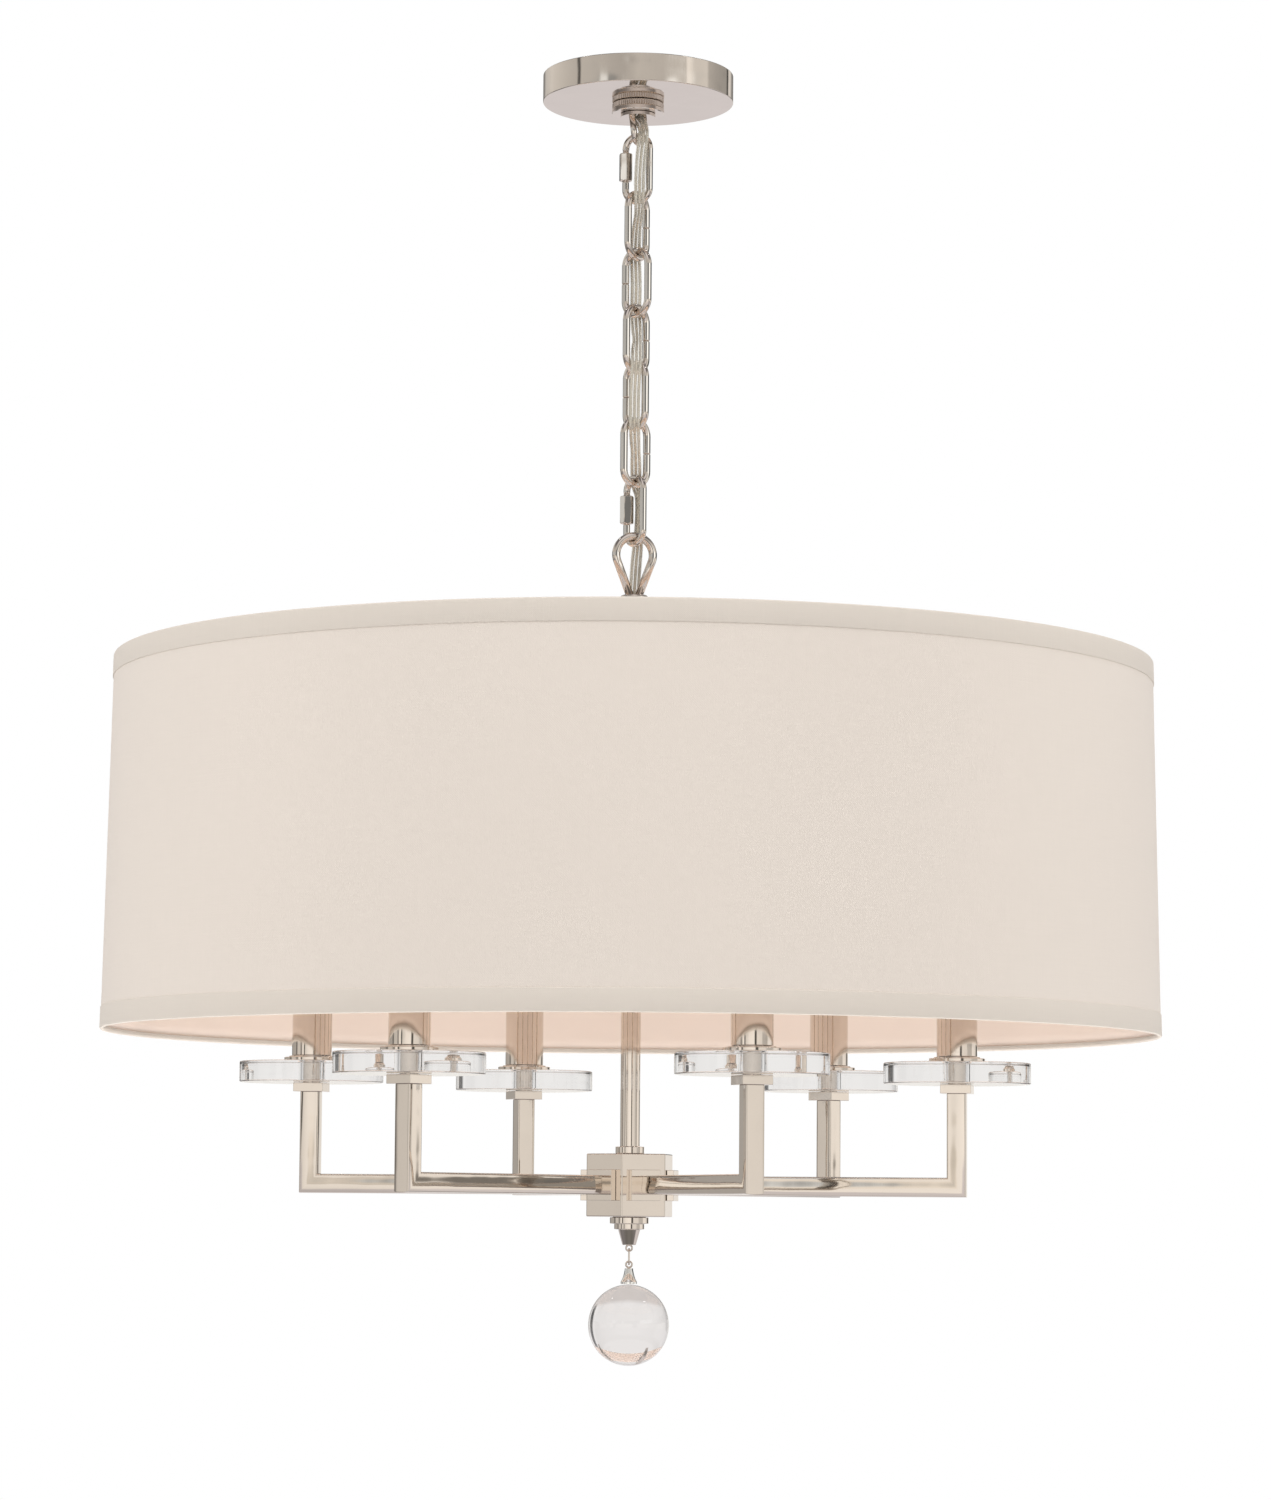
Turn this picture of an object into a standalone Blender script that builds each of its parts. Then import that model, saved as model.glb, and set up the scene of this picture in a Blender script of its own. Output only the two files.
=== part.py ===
"""A six-light drum chandelier on a short chain, as separate pieces in metres, +Z up.

The origin is the centre of the ceiling plane, and the viewer stands on the -Y side.
Each piece hangs from the one above it, so heights are worked out from the ceiling down.
An azimuth turns a piece about the vertical, counted from +X towards +Y.
"""

import math

import bmesh
import bpy
from mathutils import Matrix, Vector

# Clearances that hold everywhere
GAP = 0.0003  # between pieces that touch
OVERRUN = 0.002  # by which a cutter passes the face that it opens
WELD = 0.001  # by which welded parts of one piece reach into each other
SMOOTH_ANGLE = math.radians(35)
# Corners of a square section, as shares of its half side
SQUARE_CORNERS = [(-1, -1), (1, -1), (1, 1), (-1, 1)]

# Ceiling strap, inside the canopy
STRAP_LENGTH = 0.112
STRAP_WIDTH = 0.030
STRAP_THICKNESS = 0.0025
STRAP_SCREW_SPACING = 0.089
STRAP_SCREW_HOLE = 0.0052
STRAP_SIDES = 12

# Canopy, a flat dish that is open at the ceiling
CANOPY_DIAMETER = 0.140
CANOPY_DEPTH = 0.0205
CANOPY_WALL = 0.0014
CANOPY_EDGE = 0.0014
CANOPY_SIDES = 48

# Knurled ring that is screwed up the neck and carries the canopy
RING_DIAMETER = 0.0386
RING_HEIGHT = 0.0077
RING_CHAMFER = 0.0009
KNURL_DIAMETER = 0.0382
KNURL_DEPTH = 0.0005
KNURL_HEIGHT = 0.0045
KNURL_TEETH = 24

# Canopy loop: threaded neck, step and bent rod
NECK_DIAMETER = 0.0184
NECK_BORE = 0.0108
STEP_DIAMETER = 0.0257
STEP_HEIGHT = 0.0024
NECK_SIDES = 24
CANOPY_LOOP_ROD = 0.0046
CANOPY_LOOP_HALF_WIDTH = 0.0096
CANOPY_LOOP_BEND = 0.0055
CANOPY_LOOP_DROP = 0.0189
CANOPY_LOOP_AZIMUTH = math.radians(62)

# Quick links: oval wire with a gap in one leg, closed by a long nut
QUICK_WIRE = 0.005
QUICK_WIDTH = 0.0235
QUICK_LENGTH = 0.054
QUICK_GAP = 0.0044
QUICK_GAP_BELOW_NUT_TOP = 0.002
NUT_FLATS = 0.0088
NUT_LENGTH = 0.0205
NUT_BELOW_LINK_TOP = 0.0152
NUT_CHAMFER = 0.0007
NUT_SIDES = 12
UPPER_QUICK_AZIMUTH = math.radians(-20)
LOWER_QUICK_AZIMUTH = math.radians(-50)

# Chain links, each turned about a right angle from the last
LINK_WIRE = 0.0054
LINK_WIDTH = 0.0268
LINK_LENGTH = 0.0532
LINK_AZIMUTHS = [math.radians(a) for a in (52, -40, 48, -50, 39)]
BEND_STEPS = 8
WIRE_SIDES = 8

# Teardrop loop with the round base that holds the top of the stem
STEM_LOOP_ROD = 0.006
STEM_LOOP_WIDTH = 0.0334
STEM_LOOP_HEIGHT = 0.0467
STEM_LOOP_FOOT_HALF_WIDTH = 0.0030
STEM_LOOP_AZIMUTH = math.radians(13)
BASE_DIAMETER = 0.020
BASE_HEIGHT = 0.014
BASE_CHAMFER = 0.0015
BASE_SOCKET_DEPTH = 0.006
WIRE_WAY_WIDTH = 0.0104
WIRE_WAY_THICKNESS = 0.0062
WIRE_WAY_BACK = 0.0063
ROD_SIDES = 10

# Stem, with a seat for the shade's spider and a collar on the hub
STEM_DIAMETER = 0.0142
STEM_WALL = 0.0011
STEM_LENGTH_TO_COLLAR = 0.3862
STEM_SIDES = 20
SEAT_DIAMETER = 0.022
SEAT_THICKNESS = 0.003
SEAT_BELOW_BASE = 0.053
COLLAR_DIAMETER = 0.0207
COLLAR_HEIGHT = 0.0049
STEM_SPIGOT_LENGTH = 0.0075

# Shade spider and the nut that clamps it
SPIDER_WIRE = 0.0032
SPIDER_HUB_DIAMETER = 0.026
SPIDER_HUB_THICKNESS = 0.003
SPIDER_ARMS = 3
SPIDER_RING_BELOW_RIM = 0.0025
SHADE_RIM_ABOVE_SPIDER_HUB = 0.0121
SHADE_NUT_FLATS = 0.021
SHADE_NUT_HEIGHT = 0.006

# Drum shade: cloth on a stiff liner, with a trim tape round each rim
SHADE_BOTTOM_DIAMETER = 0.762
SHADE_TOP_DIAMETER = 0.752
SHADE_HEIGHT = 0.2686
SHADE_WALL = 0.0014
TRIM_HEIGHT = 0.016
TRIM_PROUD = 0.0006
SHADE_SIDES = 64

# Hub, a six-sided block that the arms are screwed to
ARM_COUNT = 6
FIRST_ARM_AZIMUTH = math.radians(-9.7)
HUB_SIDE = 0.033
HUB_HEIGHT = 0.045
HUB_BORE = 0.024
HUB_TOP_WALL = 0.0115
HUB_WIRE_HOLE = 0.007

# Arms: square tube with a mitred corner, a flange at the hub and a cup on the post
ARM_REACH = 0.236
ARM_TUBE = 0.014
ARM_WALL = 0.0012
ARM_RISE = 0.0665
FLANGE_SIDE = 0.022
FLANGE_THICKNESS = 0.005
CUP_SIDE = 0.022
CUP_HEIGHT = 0.0064
PLATE_CHAMFER = 0.0006
SPIGOT_DIAMETER = 0.0124
NIPPLE_DIAMETER = 0.0095
NIPPLE_LENGTH = 0.0125
SPIGOT_BORE = 0.0070
SPIGOT_SIDES = 12

# Glass discs
DISC_DIAMETER = 0.105
DISC_THICKNESS = 0.015
DISC_EDGE = 0.001
DISC_SIDES = 28

# Candle plates, sleeves, sockets and bulbs
PLATE_DIAMETER = 0.040
PLATE_THICKNESS = 0.003
PLATE_STEP_DIAMETER = 0.0330
PLATE_STEP_HEIGHT = 0.001
SLEEVE_DIAMETER = 0.029
SLEEVE_WALL = 0.0010
SLEEVE_LENGTH = 0.100
SOCKET_DIAMETER = 0.0200
SOCKET_FOOT_DIAMETER = 0.0150
SOCKET_FOOT_LENGTH = 0.048
SOCKET_BELOW_SLEEVE_TOP = 0.002
SOCKET_MOUTH = 0.0128
SOCKET_MOUTH_DEPTH = 0.024
CANDLE_SIDES = 16
BULB_CAP_DIAMETER = 0.0119
BULB_GLASS_DIAMETER = 0.035
BULB_GLASS_LENGTH = 0.078
BULB_SIDES = 12
# The bulb's outline, as shares of its glass radius and glass length
BULB_OUTLINE_SHARES = [
    (0.48, 0.00), (0.84, 0.20), (1.00, 0.42), (0.90, 0.64), (0.54, 0.86), (0.20, 0.97), (0.00, 1.00),
]

# Finial: spigot, two washers, a cone and its eyelet
FINIAL_SPIGOT_LENGTH = 0.004
WASHER_DIAMETER = 0.028
WASHER_THICKNESS = 0.0046
SMALL_WASHER_DIAMETER = 0.0217
SMALL_WASHER_THICKNESS = 0.0040
CONE_TOP_DIAMETER = 0.016
CONE_BOTTOM_DIAMETER = 0.0097
CONE_HEIGHT = 0.0112
FINIAL_SIDES = 20
EYELET_WIRE = 0.0013
EYELET_DIAMETER = 0.0056
EYELET_SIDES = 12

# Wire link, cap and glass ball
BALL_LINK_WIRE = 0.0013
BALL_LINK_WIDTH = 0.0060
BALL_LINK_LENGTH = 0.0125
CAP_BASE_DIAMETER = 0.0118
CAP_TOP_DIAMETER = 0.0058
CAP_HEIGHT = 0.0112
CAP_RIM = 0.0015
BALL_DIAMETER = 0.058
BALL_SIDES = 20
BALL_RINGS = 12
FINE_SIDES = 6

# Power cord: flat, clear, woven through the chain and down the stem
CORD_WIDTH = 0.0086
CORD_THICKNESS = 0.0042
CORD_STEP = 0.0075
CORD_SIDES = 8
# Points that the cord passes, with the azimuth of its wide side in degrees
CORD_ROUTE = [
    (0.0000, 0.0000, -0.0040, -20),
    (-0.0004, 0.0002, -0.0200, -20),
    (-0.0003, -0.0001, -0.0303, -20),
    (0.0022, -0.0042, -0.0360, -20),
    (0.0039, -0.0076, -0.0415, -20),
    (0.0040, -0.0084, -0.0480, -12),
    (0.0026, -0.0081, -0.0600, -2),
    (0.0016, -0.0078, -0.0780, 0),
    (0.0016, -0.0084, -0.0920, 18),
    (0.0012, -0.0040, -0.1040, 40),
    (-0.0002, 0.0008, -0.1130, 35),
    (-0.0010, 0.0056, -0.1230, 12),
    (-0.0012, 0.0096, -0.1330, 2),
    (-0.0004, 0.0078, -0.1540, 0),
    (-0.0006, 0.0100, -0.1750, 0),
    (0.0000, 0.0050, -0.1865, -12),
    (0.0006, 0.0002, -0.1960, -38),
    (0.0002, -0.0050, -0.2060, -12),
    (0.0002, -0.0102, -0.2170, 0),
    (-0.0008, -0.0086, -0.2380, 0),
    (-0.0008, -0.0099, -0.2595, 0),
    (-0.0004, -0.0050, -0.2710, 14),
    (0.0002, 0.0000, -0.2805, 34),
    (0.0004, 0.0050, -0.2900, 4),
    (0.0008, 0.0104, -0.3020, -22),
    (0.0024, 0.0088, -0.3120, -60),
    (0.0024, 0.0088, -0.3320, -60),
    (0.0024, 0.0096, -0.3450, -30),
    (0.0010, 0.0086, -0.3640, 0),
    (0.0000, 0.0070, -0.3850, 0),
    (0.0000, 0.0022, -0.3960, 0),
    (0.0000, 0.0000, -0.4080, 0),
    (0.0000, 0.0000, -0.4300, 0),
]
CORD_END_ABOVE_HUB_MIDDLE = 0.009

# Colours, roughness and metallic values by finish
FINISHES = {
    "nickel": ((0.66, 0.60, 0.53), 0.10, 1.0),
    "steel": ((0.45, 0.45, 0.44), 0.35, 1.0),
    "cloth": ((0.78, 0.73, 0.66), 0.85, 0.0),
    "glass": ((0.95, 0.97, 0.96), 0.02, 0.0),
    "bulb": ((0.90, 0.89, 0.86), 0.35, 0.0),
    "phenolic": ((0.82, 0.80, 0.74), 0.45, 0.0),
    "cord": ((0.62, 0.60, 0.54), 0.30, 0.0),
}


def round_form(angle):
    """A round piece keeps its radius all the way round."""
    return 1.0


def hexagon_form(angle):
    """The radius of a hexagon with its corners at 0, 60, 120 degrees, over half its flats."""
    sector = math.tau / 6
    return 1 / math.cos(angle % sector - sector / 2)


def knurl_form(angle):
    """Flutes: every second point of the ring lies lower by the knurl's depth."""
    tooth = round(angle / math.tau * KNURL_TEETH * 2)
    return 1 - (tooth % 2) * 2 * KNURL_DEPTH / KNURL_DIAMETER


def finished_mesh(bm, name):
    """The mesh of a closed solid, with outward faces and smooth shading on its round sides."""
    bmesh.ops.recalc_face_normals(bm, faces=bm.faces)
    mesh = bpy.data.meshes.new(name)
    bm.to_mesh(mesh)
    bm.free()
    mesh.shade_smooth()
    mesh.set_sharp_from_angle(angle=SMOOTH_ANGLE)
    return mesh


def join_rings(bm, upper, lower):
    """Faces between two rings of points, either of which may be a single point."""
    count = max(len(upper), len(lower))
    for k in range(count):
        n = (k + 1) % count
        corners = [upper[k % len(upper)], upper[n % len(upper)], lower[n % len(lower)], lower[k % len(lower)]]
        bm.faces.new(list(dict.fromkeys(corners)))


def turned(name, profile, sides):
    """A turned solid from points (radius, height) or (radius, height, form).

    A profile that starts and ends on the axis is solid. Any other closes round a bore."""
    bm = bmesh.new()
    rings = []
    for radius, height, *form in profile:
        shape = form[0] if form else round_form
        if radius == 0:
            rings.append([bm.verts.new((0, 0, height))])
            continue
        angles = [math.tau * k / sides for k in range(sides)]
        reach = [radius * shape(a) for a in angles]
        places = [(r * math.cos(a), r * math.sin(a), height) for r, a in zip(reach, angles)]
        rings.append([bm.verts.new(place) for place in places])
    pairs = list(zip(rings, rings[1:]))
    if profile[0][0] > 0:
        pairs.append((rings[-1], rings[0]))
    for upper, lower in pairs:
        join_rings(bm, upper, lower)
    return finished_mesh(bm, name)


def swept(name, sections, closed):
    """A solid through a row of sections, closed on itself or capped at both ends."""
    bm = bmesh.new()
    rings = [[bm.verts.new(p) for p in section] for section in sections]
    pairs = list(zip(rings, rings[1:]))
    if closed:
        pairs.append((rings[-1], rings[0]))
    for upper, lower in pairs:
        join_rings(bm, upper, lower)
    if not closed:
        bm.faces.new(rings[0])
        bm.faces.new(rings[-1])
    return finished_mesh(bm, name)


def wire(name, path, diameter, sides, closed):
    """A round wire along points (across, height) in the XZ plane."""
    count = len(path)
    sections = []
    for k, (across, height) in enumerate(path):
        before = path[k - 1] if closed or k > 0 else path[k]
        after = path[(k + 1) % count] if closed or k < count - 1 else path[k]
        along = Vector((after[0] - before[0], 0, after[1] - before[1])).normalized()
        outward = Vector((along.z, 0, -along.x))
        centre = Vector((across, 0, height))
        section = []
        for s in range(sides):
            angle = math.tau * (s + 0.5) / sides
            offset = outward * math.cos(angle) + Vector((0, 1, 0)) * math.sin(angle)
            section.append(centre + offset * diameter / 2)
        sections.append(section)
    return swept(name, sections, closed)


def arc(radius, centre_height, start, end, steps):
    """Points (across, height) on an arc in the XZ plane, angles from +X towards +Z."""
    angles = [start + (end - start) * k / steps for k in range(steps + 1)]
    return [(radius * math.cos(a), centre_height + radius * math.sin(a)) for a in angles]


def oval_path(width, length, top, steps):
    """The closed centre line of an oval link whose top point is at the given height."""
    radius = width / 2
    upper = arc(radius, top - radius, 0, math.pi, steps)
    lower = arc(radius, top - length + radius, math.pi, math.tau, steps)
    return upper + lower


def eye_path(radius, centre_height, end_half_width, end_height, steps):
    """A bend with two straight legs tangent to it, which end at the given place."""
    rise = end_height - centre_height
    reach = math.hypot(end_half_width, rise)
    to_end = math.atan2(rise, end_half_width)
    opening = math.acos(radius / reach)
    side = -1 if rise > 0 else 1
    touch = to_end + side * opening
    bend = arc(radius, centre_height, touch, side * math.pi - touch, steps)
    return [(end_half_width, end_height)] + bend + [(-end_half_width, end_height)]


def block(name, low, high, chamfer=0.0):
    """A block between two corners, with its edges chamfered."""
    bm = bmesh.new()
    size = Vector(high) - Vector(low)
    middle = (Vector(high) + Vector(low)) / 2
    bmesh.ops.create_cube(bm, size=1, matrix=Matrix.Translation(middle) @ Matrix.Diagonal(size).to_4x4())
    if chamfer:
        bmesh.ops.bevel(bm, geom=bm.edges[:], offset=chamfer, segments=1, affect="EDGES")
    return finished_mesh(bm, name)


def rod(name, start, end, diameter, sides, flatten=1.0):
    """A straight bar between two points, round or flattened. An upright one stays wide along X."""
    start, end = Vector(start), Vector(end)
    along = (end - start).normalized()
    across = along.orthogonal().normalized() if abs(along.z) < 0.5 else Vector((1, 0, 0))
    across = (across - along * across.dot(along)).normalized()
    third = along.cross(across)
    sections = []
    for centre in (start, end):
        section = []
        for s in range(sides):
            angle = math.tau * (s + 0.5) / sides
            offset = across * math.cos(angle) + third * math.sin(angle) * flatten
            section.append(centre + offset * diameter / 2)
        sections.append(section)
    return swept(name, sections, False)


def moved(mesh, offset, turn=0.0):
    """The mesh turned about Z and then shifted."""
    mesh.transform(Matrix.Translation(Vector(offset)) @ Matrix.Rotation(turn, 4, "Z"))
    return mesh


def fused(name, mesh, adds=(), cuts=()):
    """The mesh with others welded on and then others cut out, as one closed solid."""
    worker = bpy.data.objects.new(name, mesh)
    bpy.context.scene.collection.objects.link(worker)
    tools = []
    for other, operation in [(m, "UNION") for m in adds] + [(m, "DIFFERENCE") for m in cuts]:
        tool = bpy.data.objects.new(name + "_tool", other)
        bpy.context.scene.collection.objects.link(tool)
        step = worker.modifiers.new(operation.lower(), "BOOLEAN")
        step.operation = operation
        step.object = tool
        tools.append(tool)
    bpy.context.view_layer.update()
    graph = bpy.context.evaluated_depsgraph_get()
    result = bpy.data.meshes.new_from_object(worker.evaluated_get(graph))
    for used in [worker] + tools:
        bpy.data.objects.remove(used)
    result.name = name
    result.shade_smooth()
    result.set_sharp_from_angle(angle=SMOOTH_ANGLE)
    return result


def material(name, finish):
    """The piece's own material, in one of the finishes."""
    colour, roughness, metallic = FINISHES[finish]
    made = bpy.data.materials.new(name)
    made.use_nodes = True
    shader = made.node_tree.nodes["Principled BSDF"]
    shader.inputs["Base Color"].default_value = (*colour, 1)
    shader.inputs["Roughness"].default_value = roughness
    shader.inputs["Metallic"].default_value = metallic
    if finish == "glass":
        shader.inputs["Transmission Weight"].default_value = 1.0
    return made


def pivot(name, parent, position):
    """An empty on a joint's axis, which carries the piece that moves there."""
    empty = bpy.data.objects.new(name, None)
    bpy.context.scene.collection.objects.link(empty)
    attach(empty, parent, position)
    return empty


def attach(thing, parent, position):
    """Parents a thing and places it at a position that is given from the ceiling's centre."""
    place = Vector(position)
    if parent:
        bpy.context.view_layer.update()
        thing.parent = parent
        place = parent.matrix_world.inverted() @ place
    thing.location = place


def piece(name, mesh, finish, parent=None, position=(0, 0, 0), turn=0.0):
    """A named piece of the chandelier, with its material, at its place."""
    made = bpy.data.objects.new(name, mesh)
    bpy.context.scene.collection.objects.link(made)
    if not mesh.materials:
        mesh.materials.append(material(name, finish))
    attach(made, parent, position)
    made.rotation_euler.z = turn
    return made


def ceiling_strap():
    """A flat bar under the ceiling box, with a threaded centre hole and two screw holes."""
    half_length = STRAP_LENGTH / 2
    half_width = STRAP_WIDTH / 2
    bar = block("ceiling_strap", (-half_length, -half_width, -STRAP_THICKNESS), (half_length, half_width, 0))
    top = (0, 0, OVERRUN)
    bottom = (0, 0, -STRAP_THICKNESS - OVERRUN)
    cuts = [rod("neck_hole", top, bottom, NECK_DIAMETER + 2 * GAP, NECK_SIDES)]
    for side in (-1, 1):
        hole = rod("screw_hole", top, bottom, STRAP_SCREW_HOLE, STRAP_SIDES)
        cuts.append(moved(hole, (side * STRAP_SCREW_SPACING / 2, 0, 0)))
    piece("ceiling_strap", fused("ceiling_strap", bar, cuts=cuts), "steel")


def canopy():
    """A spun dish: flat underside with a centre hole, upright wall, open at the ceiling."""
    outer = CANOPY_DIAMETER / 2
    inner = outer - CANOPY_WALL
    hole = NECK_DIAMETER / 2 + 2 * GAP
    floor = -CANOPY_DEPTH
    profile = [
        (hole, floor),
        (outer - CANOPY_EDGE, floor),
        (outer, floor + CANOPY_EDGE),
        (outer, 0),
        (inner, 0),
        (inner, floor + CANOPY_WALL),
        (hole, floor + CANOPY_WALL),
    ]
    piece("canopy", turned("canopy", profile, CANOPY_SIDES), "nickel")
    return floor


def collar_ring(parent, top):
    """The knurled ring that turns on the neck, with a smooth band below its flutes."""
    bore = NECK_DIAMETER / 2 + GAP
    outer = RING_DIAMETER / 2
    flutes = KNURL_DIAMETER / 2
    profile = [
        (bore, 0),
        (flutes - RING_CHAMFER, 0),
        (flutes, -RING_CHAMFER / 2, knurl_form),
        (flutes, -KNURL_HEIGHT, knurl_form),
        (outer, -KNURL_HEIGHT - RING_CHAMFER / 2),
        (outer, -RING_HEIGHT + RING_CHAMFER),
        (outer - RING_CHAMFER, -RING_HEIGHT),
        (bore, -RING_HEIGHT),
    ]
    ring = turned("collar_ring", profile, 2 * KNURL_TEETH)
    piece("collar_ring", ring, "nickel", parent, (0, 0, top))
    return top - RING_HEIGHT


def canopy_loop(step_top):
    """The hollow neck and step, with the bent rod that the chain hangs on."""
    bore = NECK_BORE / 2
    neck = NECK_DIAMETER / 2
    step = STEP_DIAMETER / 2
    step_bottom = step_top - STEP_HEIGHT
    rod_bottom = step_bottom - CANOPY_LOOP_DROP
    profile = [
        (bore, -GAP),
        (neck, -GAP),
        (neck, step_top),
        (step, step_top),
        (step, step_bottom),
        (bore, step_bottom),
    ]
    barrel = turned("canopy_loop", profile, NECK_SIDES)
    centre = rod_bottom + CANOPY_LOOP_BEND
    path = eye_path(CANOPY_LOOP_BEND, centre, CANOPY_LOOP_HALF_WIDTH, step_bottom + WELD, BEND_STEPS)
    bow = wire("bow", path, CANOPY_LOOP_ROD, ROD_SIDES, False)
    moved(bow, (0, 0, 0), CANOPY_LOOP_AZIMUTH)
    piece("canopy_loop", fused("canopy_loop", barrel, adds=[bow]), "nickel")
    return rod_bottom


def quick_link(name, parent, hang, above, azimuth):
    """An oval link with a gap in its left leg. It hangs on a rod at the height hang."""
    top = (above + QUICK_WIRE) / 2 + GAP
    half = (QUICK_WIDTH - QUICK_WIRE) / 2
    path = oval_path(2 * half, QUICK_LENGTH - QUICK_WIRE, top, BEND_STEPS)
    nut_top = top + QUICK_WIRE / 2 - NUT_BELOW_LINK_TOP
    gap_top = nut_top - QUICK_GAP_BELOW_NUT_TOP
    left_leg_top = BEND_STEPS + 1
    round_the_bends = path[left_leg_top:] + path[:left_leg_top]
    open_path = [(-half, gap_top - QUICK_GAP)] + round_the_bends + [(-half, gap_top)]
    link = wire(name, open_path, QUICK_WIRE, WIRE_SIDES, False)
    piece(name, link, "nickel", parent, (0, 0, hang), azimuth)
    bottom = hang + top - QUICK_LENGTH + QUICK_WIRE
    leg = Vector((-half * math.cos(azimuth), -half * math.sin(azimuth), hang + nut_top))
    return bottom, leg


def quick_link_nut(name, mesh, parent, leg, azimuth):
    """The long six-sided nut that runs on the thread of the link's leg."""
    slide = pivot(name + "_slide", parent, leg)
    piece(name, mesh, "nickel", slide, leg, azimuth)


def nut_mesh():
    """A hexagon bar with a bore and rounded ends, its top at its own origin."""
    bore = QUICK_WIRE / 2 + GAP
    flats = NUT_FLATS / 2
    profile = [
        (bore, 0),
        (flats, 0),
        (flats, -NUT_CHAMFER, hexagon_form),
        (flats, -NUT_LENGTH + NUT_CHAMFER, hexagon_form),
        (flats, -NUT_LENGTH),
        (bore, -NUT_LENGTH),
    ]
    return turned("quick_link_nut", profile, NUT_SIDES)


def chain_link(number, parent, hang, above, azimuth):
    """One oval link of the chain, on the wire of the link above it."""
    top = (above + LINK_WIRE) / 2 + GAP
    path = oval_path(LINK_WIDTH - LINK_WIRE, LINK_LENGTH - LINK_WIRE, top, BEND_STEPS)
    name = f"chain_link_{number}"
    swing = pivot(name + "_swing", parent, (0, 0, hang))
    piece(name, wire(name, path, LINK_WIRE, WIRE_SIDES, True), "nickel", swing, (0, 0, hang), azimuth)
    return swing, hang + top - LINK_LENGTH + LINK_WIRE


def stem_loop(parent, hang):
    """The teardrop rod and its round base, with the wire way and the stem's socket."""
    top = hang + (QUICK_WIRE + STEM_LOOP_ROD) / 2 + GAP
    radius = (STEM_LOOP_WIDTH - STEM_LOOP_ROD) / 2
    base_top = top + STEM_LOOP_ROD / 2 - STEM_LOOP_HEIGHT
    base_bottom = base_top - BASE_HEIGHT
    path = eye_path(radius, top - radius, STEM_LOOP_FOOT_HALF_WIDTH, base_top - WELD, 2 * BEND_STEPS)
    bow = moved(wire("teardrop", path, STEM_LOOP_ROD, ROD_SIDES, False), (0, 0, 0), STEM_LOOP_AZIMUTH)
    outer = BASE_DIAMETER / 2
    socket = STEM_DIAMETER / 2 + GAP
    bore = STEM_DIAMETER / 2 - STEM_WALL
    base = turned("base", [
        (0, base_top),
        (outer - BASE_CHAMFER, base_top),
        (outer, base_top - BASE_CHAMFER),
        (outer, base_bottom),
        (0, base_bottom),
    ], STEM_SIDES)
    socket_top = base_bottom + BASE_SOCKET_DEPTH
    well = turned("well", [
        (0, socket_top + WELD),
        (bore, socket_top + WELD),
        (bore, socket_top),
        (socket, socket_top),
        (socket, base_bottom - OVERRUN),
        (0, base_bottom - OVERRUN),
    ], STEM_SIDES)
    fall = Vector((0, -WIRE_WAY_BACK, -BASE_HEIGHT))
    mouth = Vector((0, WIRE_WAY_BACK, base_top))
    start = mouth - fall.normalized() * 2 * OVERRUN
    end = mouth + fall
    slot = rod("wire_way", start, end, WIRE_WAY_WIDTH, ROD_SIDES, WIRE_WAY_THICKNESS / WIRE_WAY_WIDTH)
    made = fused("stem_loop", base, adds=[bow], cuts=[well, slot])
    piece("stem_loop", moved(made, (0, 0, -hang)), "nickel", parent, (0, 0, hang))
    return base_bottom


def stem_tube(parent, base_bottom):
    """The stem: a tube with a seat for the spider, a collar on the hub and a spigot into it."""
    top = base_bottom + BASE_SOCKET_DEPTH - GAP
    collar_top = base_bottom - STEM_LENGTH_TO_COLLAR
    collar_bottom = collar_top - COLLAR_HEIGHT
    seat_top = base_bottom - SEAT_BELOW_BASE
    outer = STEM_DIAMETER / 2
    bore = outer - STEM_WALL
    profile = [
        (bore, top),
        (outer, top),
        (outer, seat_top),
        (SEAT_DIAMETER / 2, seat_top),
        (SEAT_DIAMETER / 2, seat_top - SEAT_THICKNESS),
        (outer, seat_top - SEAT_THICKNESS),
        (outer, collar_top),
        (COLLAR_DIAMETER / 2, collar_top),
        (COLLAR_DIAMETER / 2, collar_bottom),
        (outer, collar_bottom),
        (outer, collar_bottom - STEM_SPIGOT_LENGTH),
        (bore, collar_bottom - STEM_SPIGOT_LENGTH),
    ]
    piece("stem_tube", turned("stem_tube", profile, STEM_SIDES), "nickel", parent)
    return seat_top, collar_bottom - GAP


def shade_radius(height_in_shade):
    """The radius of the trim's outside at a height above the bottom rim."""
    bottom = SHADE_BOTTOM_DIAMETER / 2
    top = SHADE_TOP_DIAMETER / 2
    return bottom + (top - bottom) * height_in_shade / SHADE_HEIGHT


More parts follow.
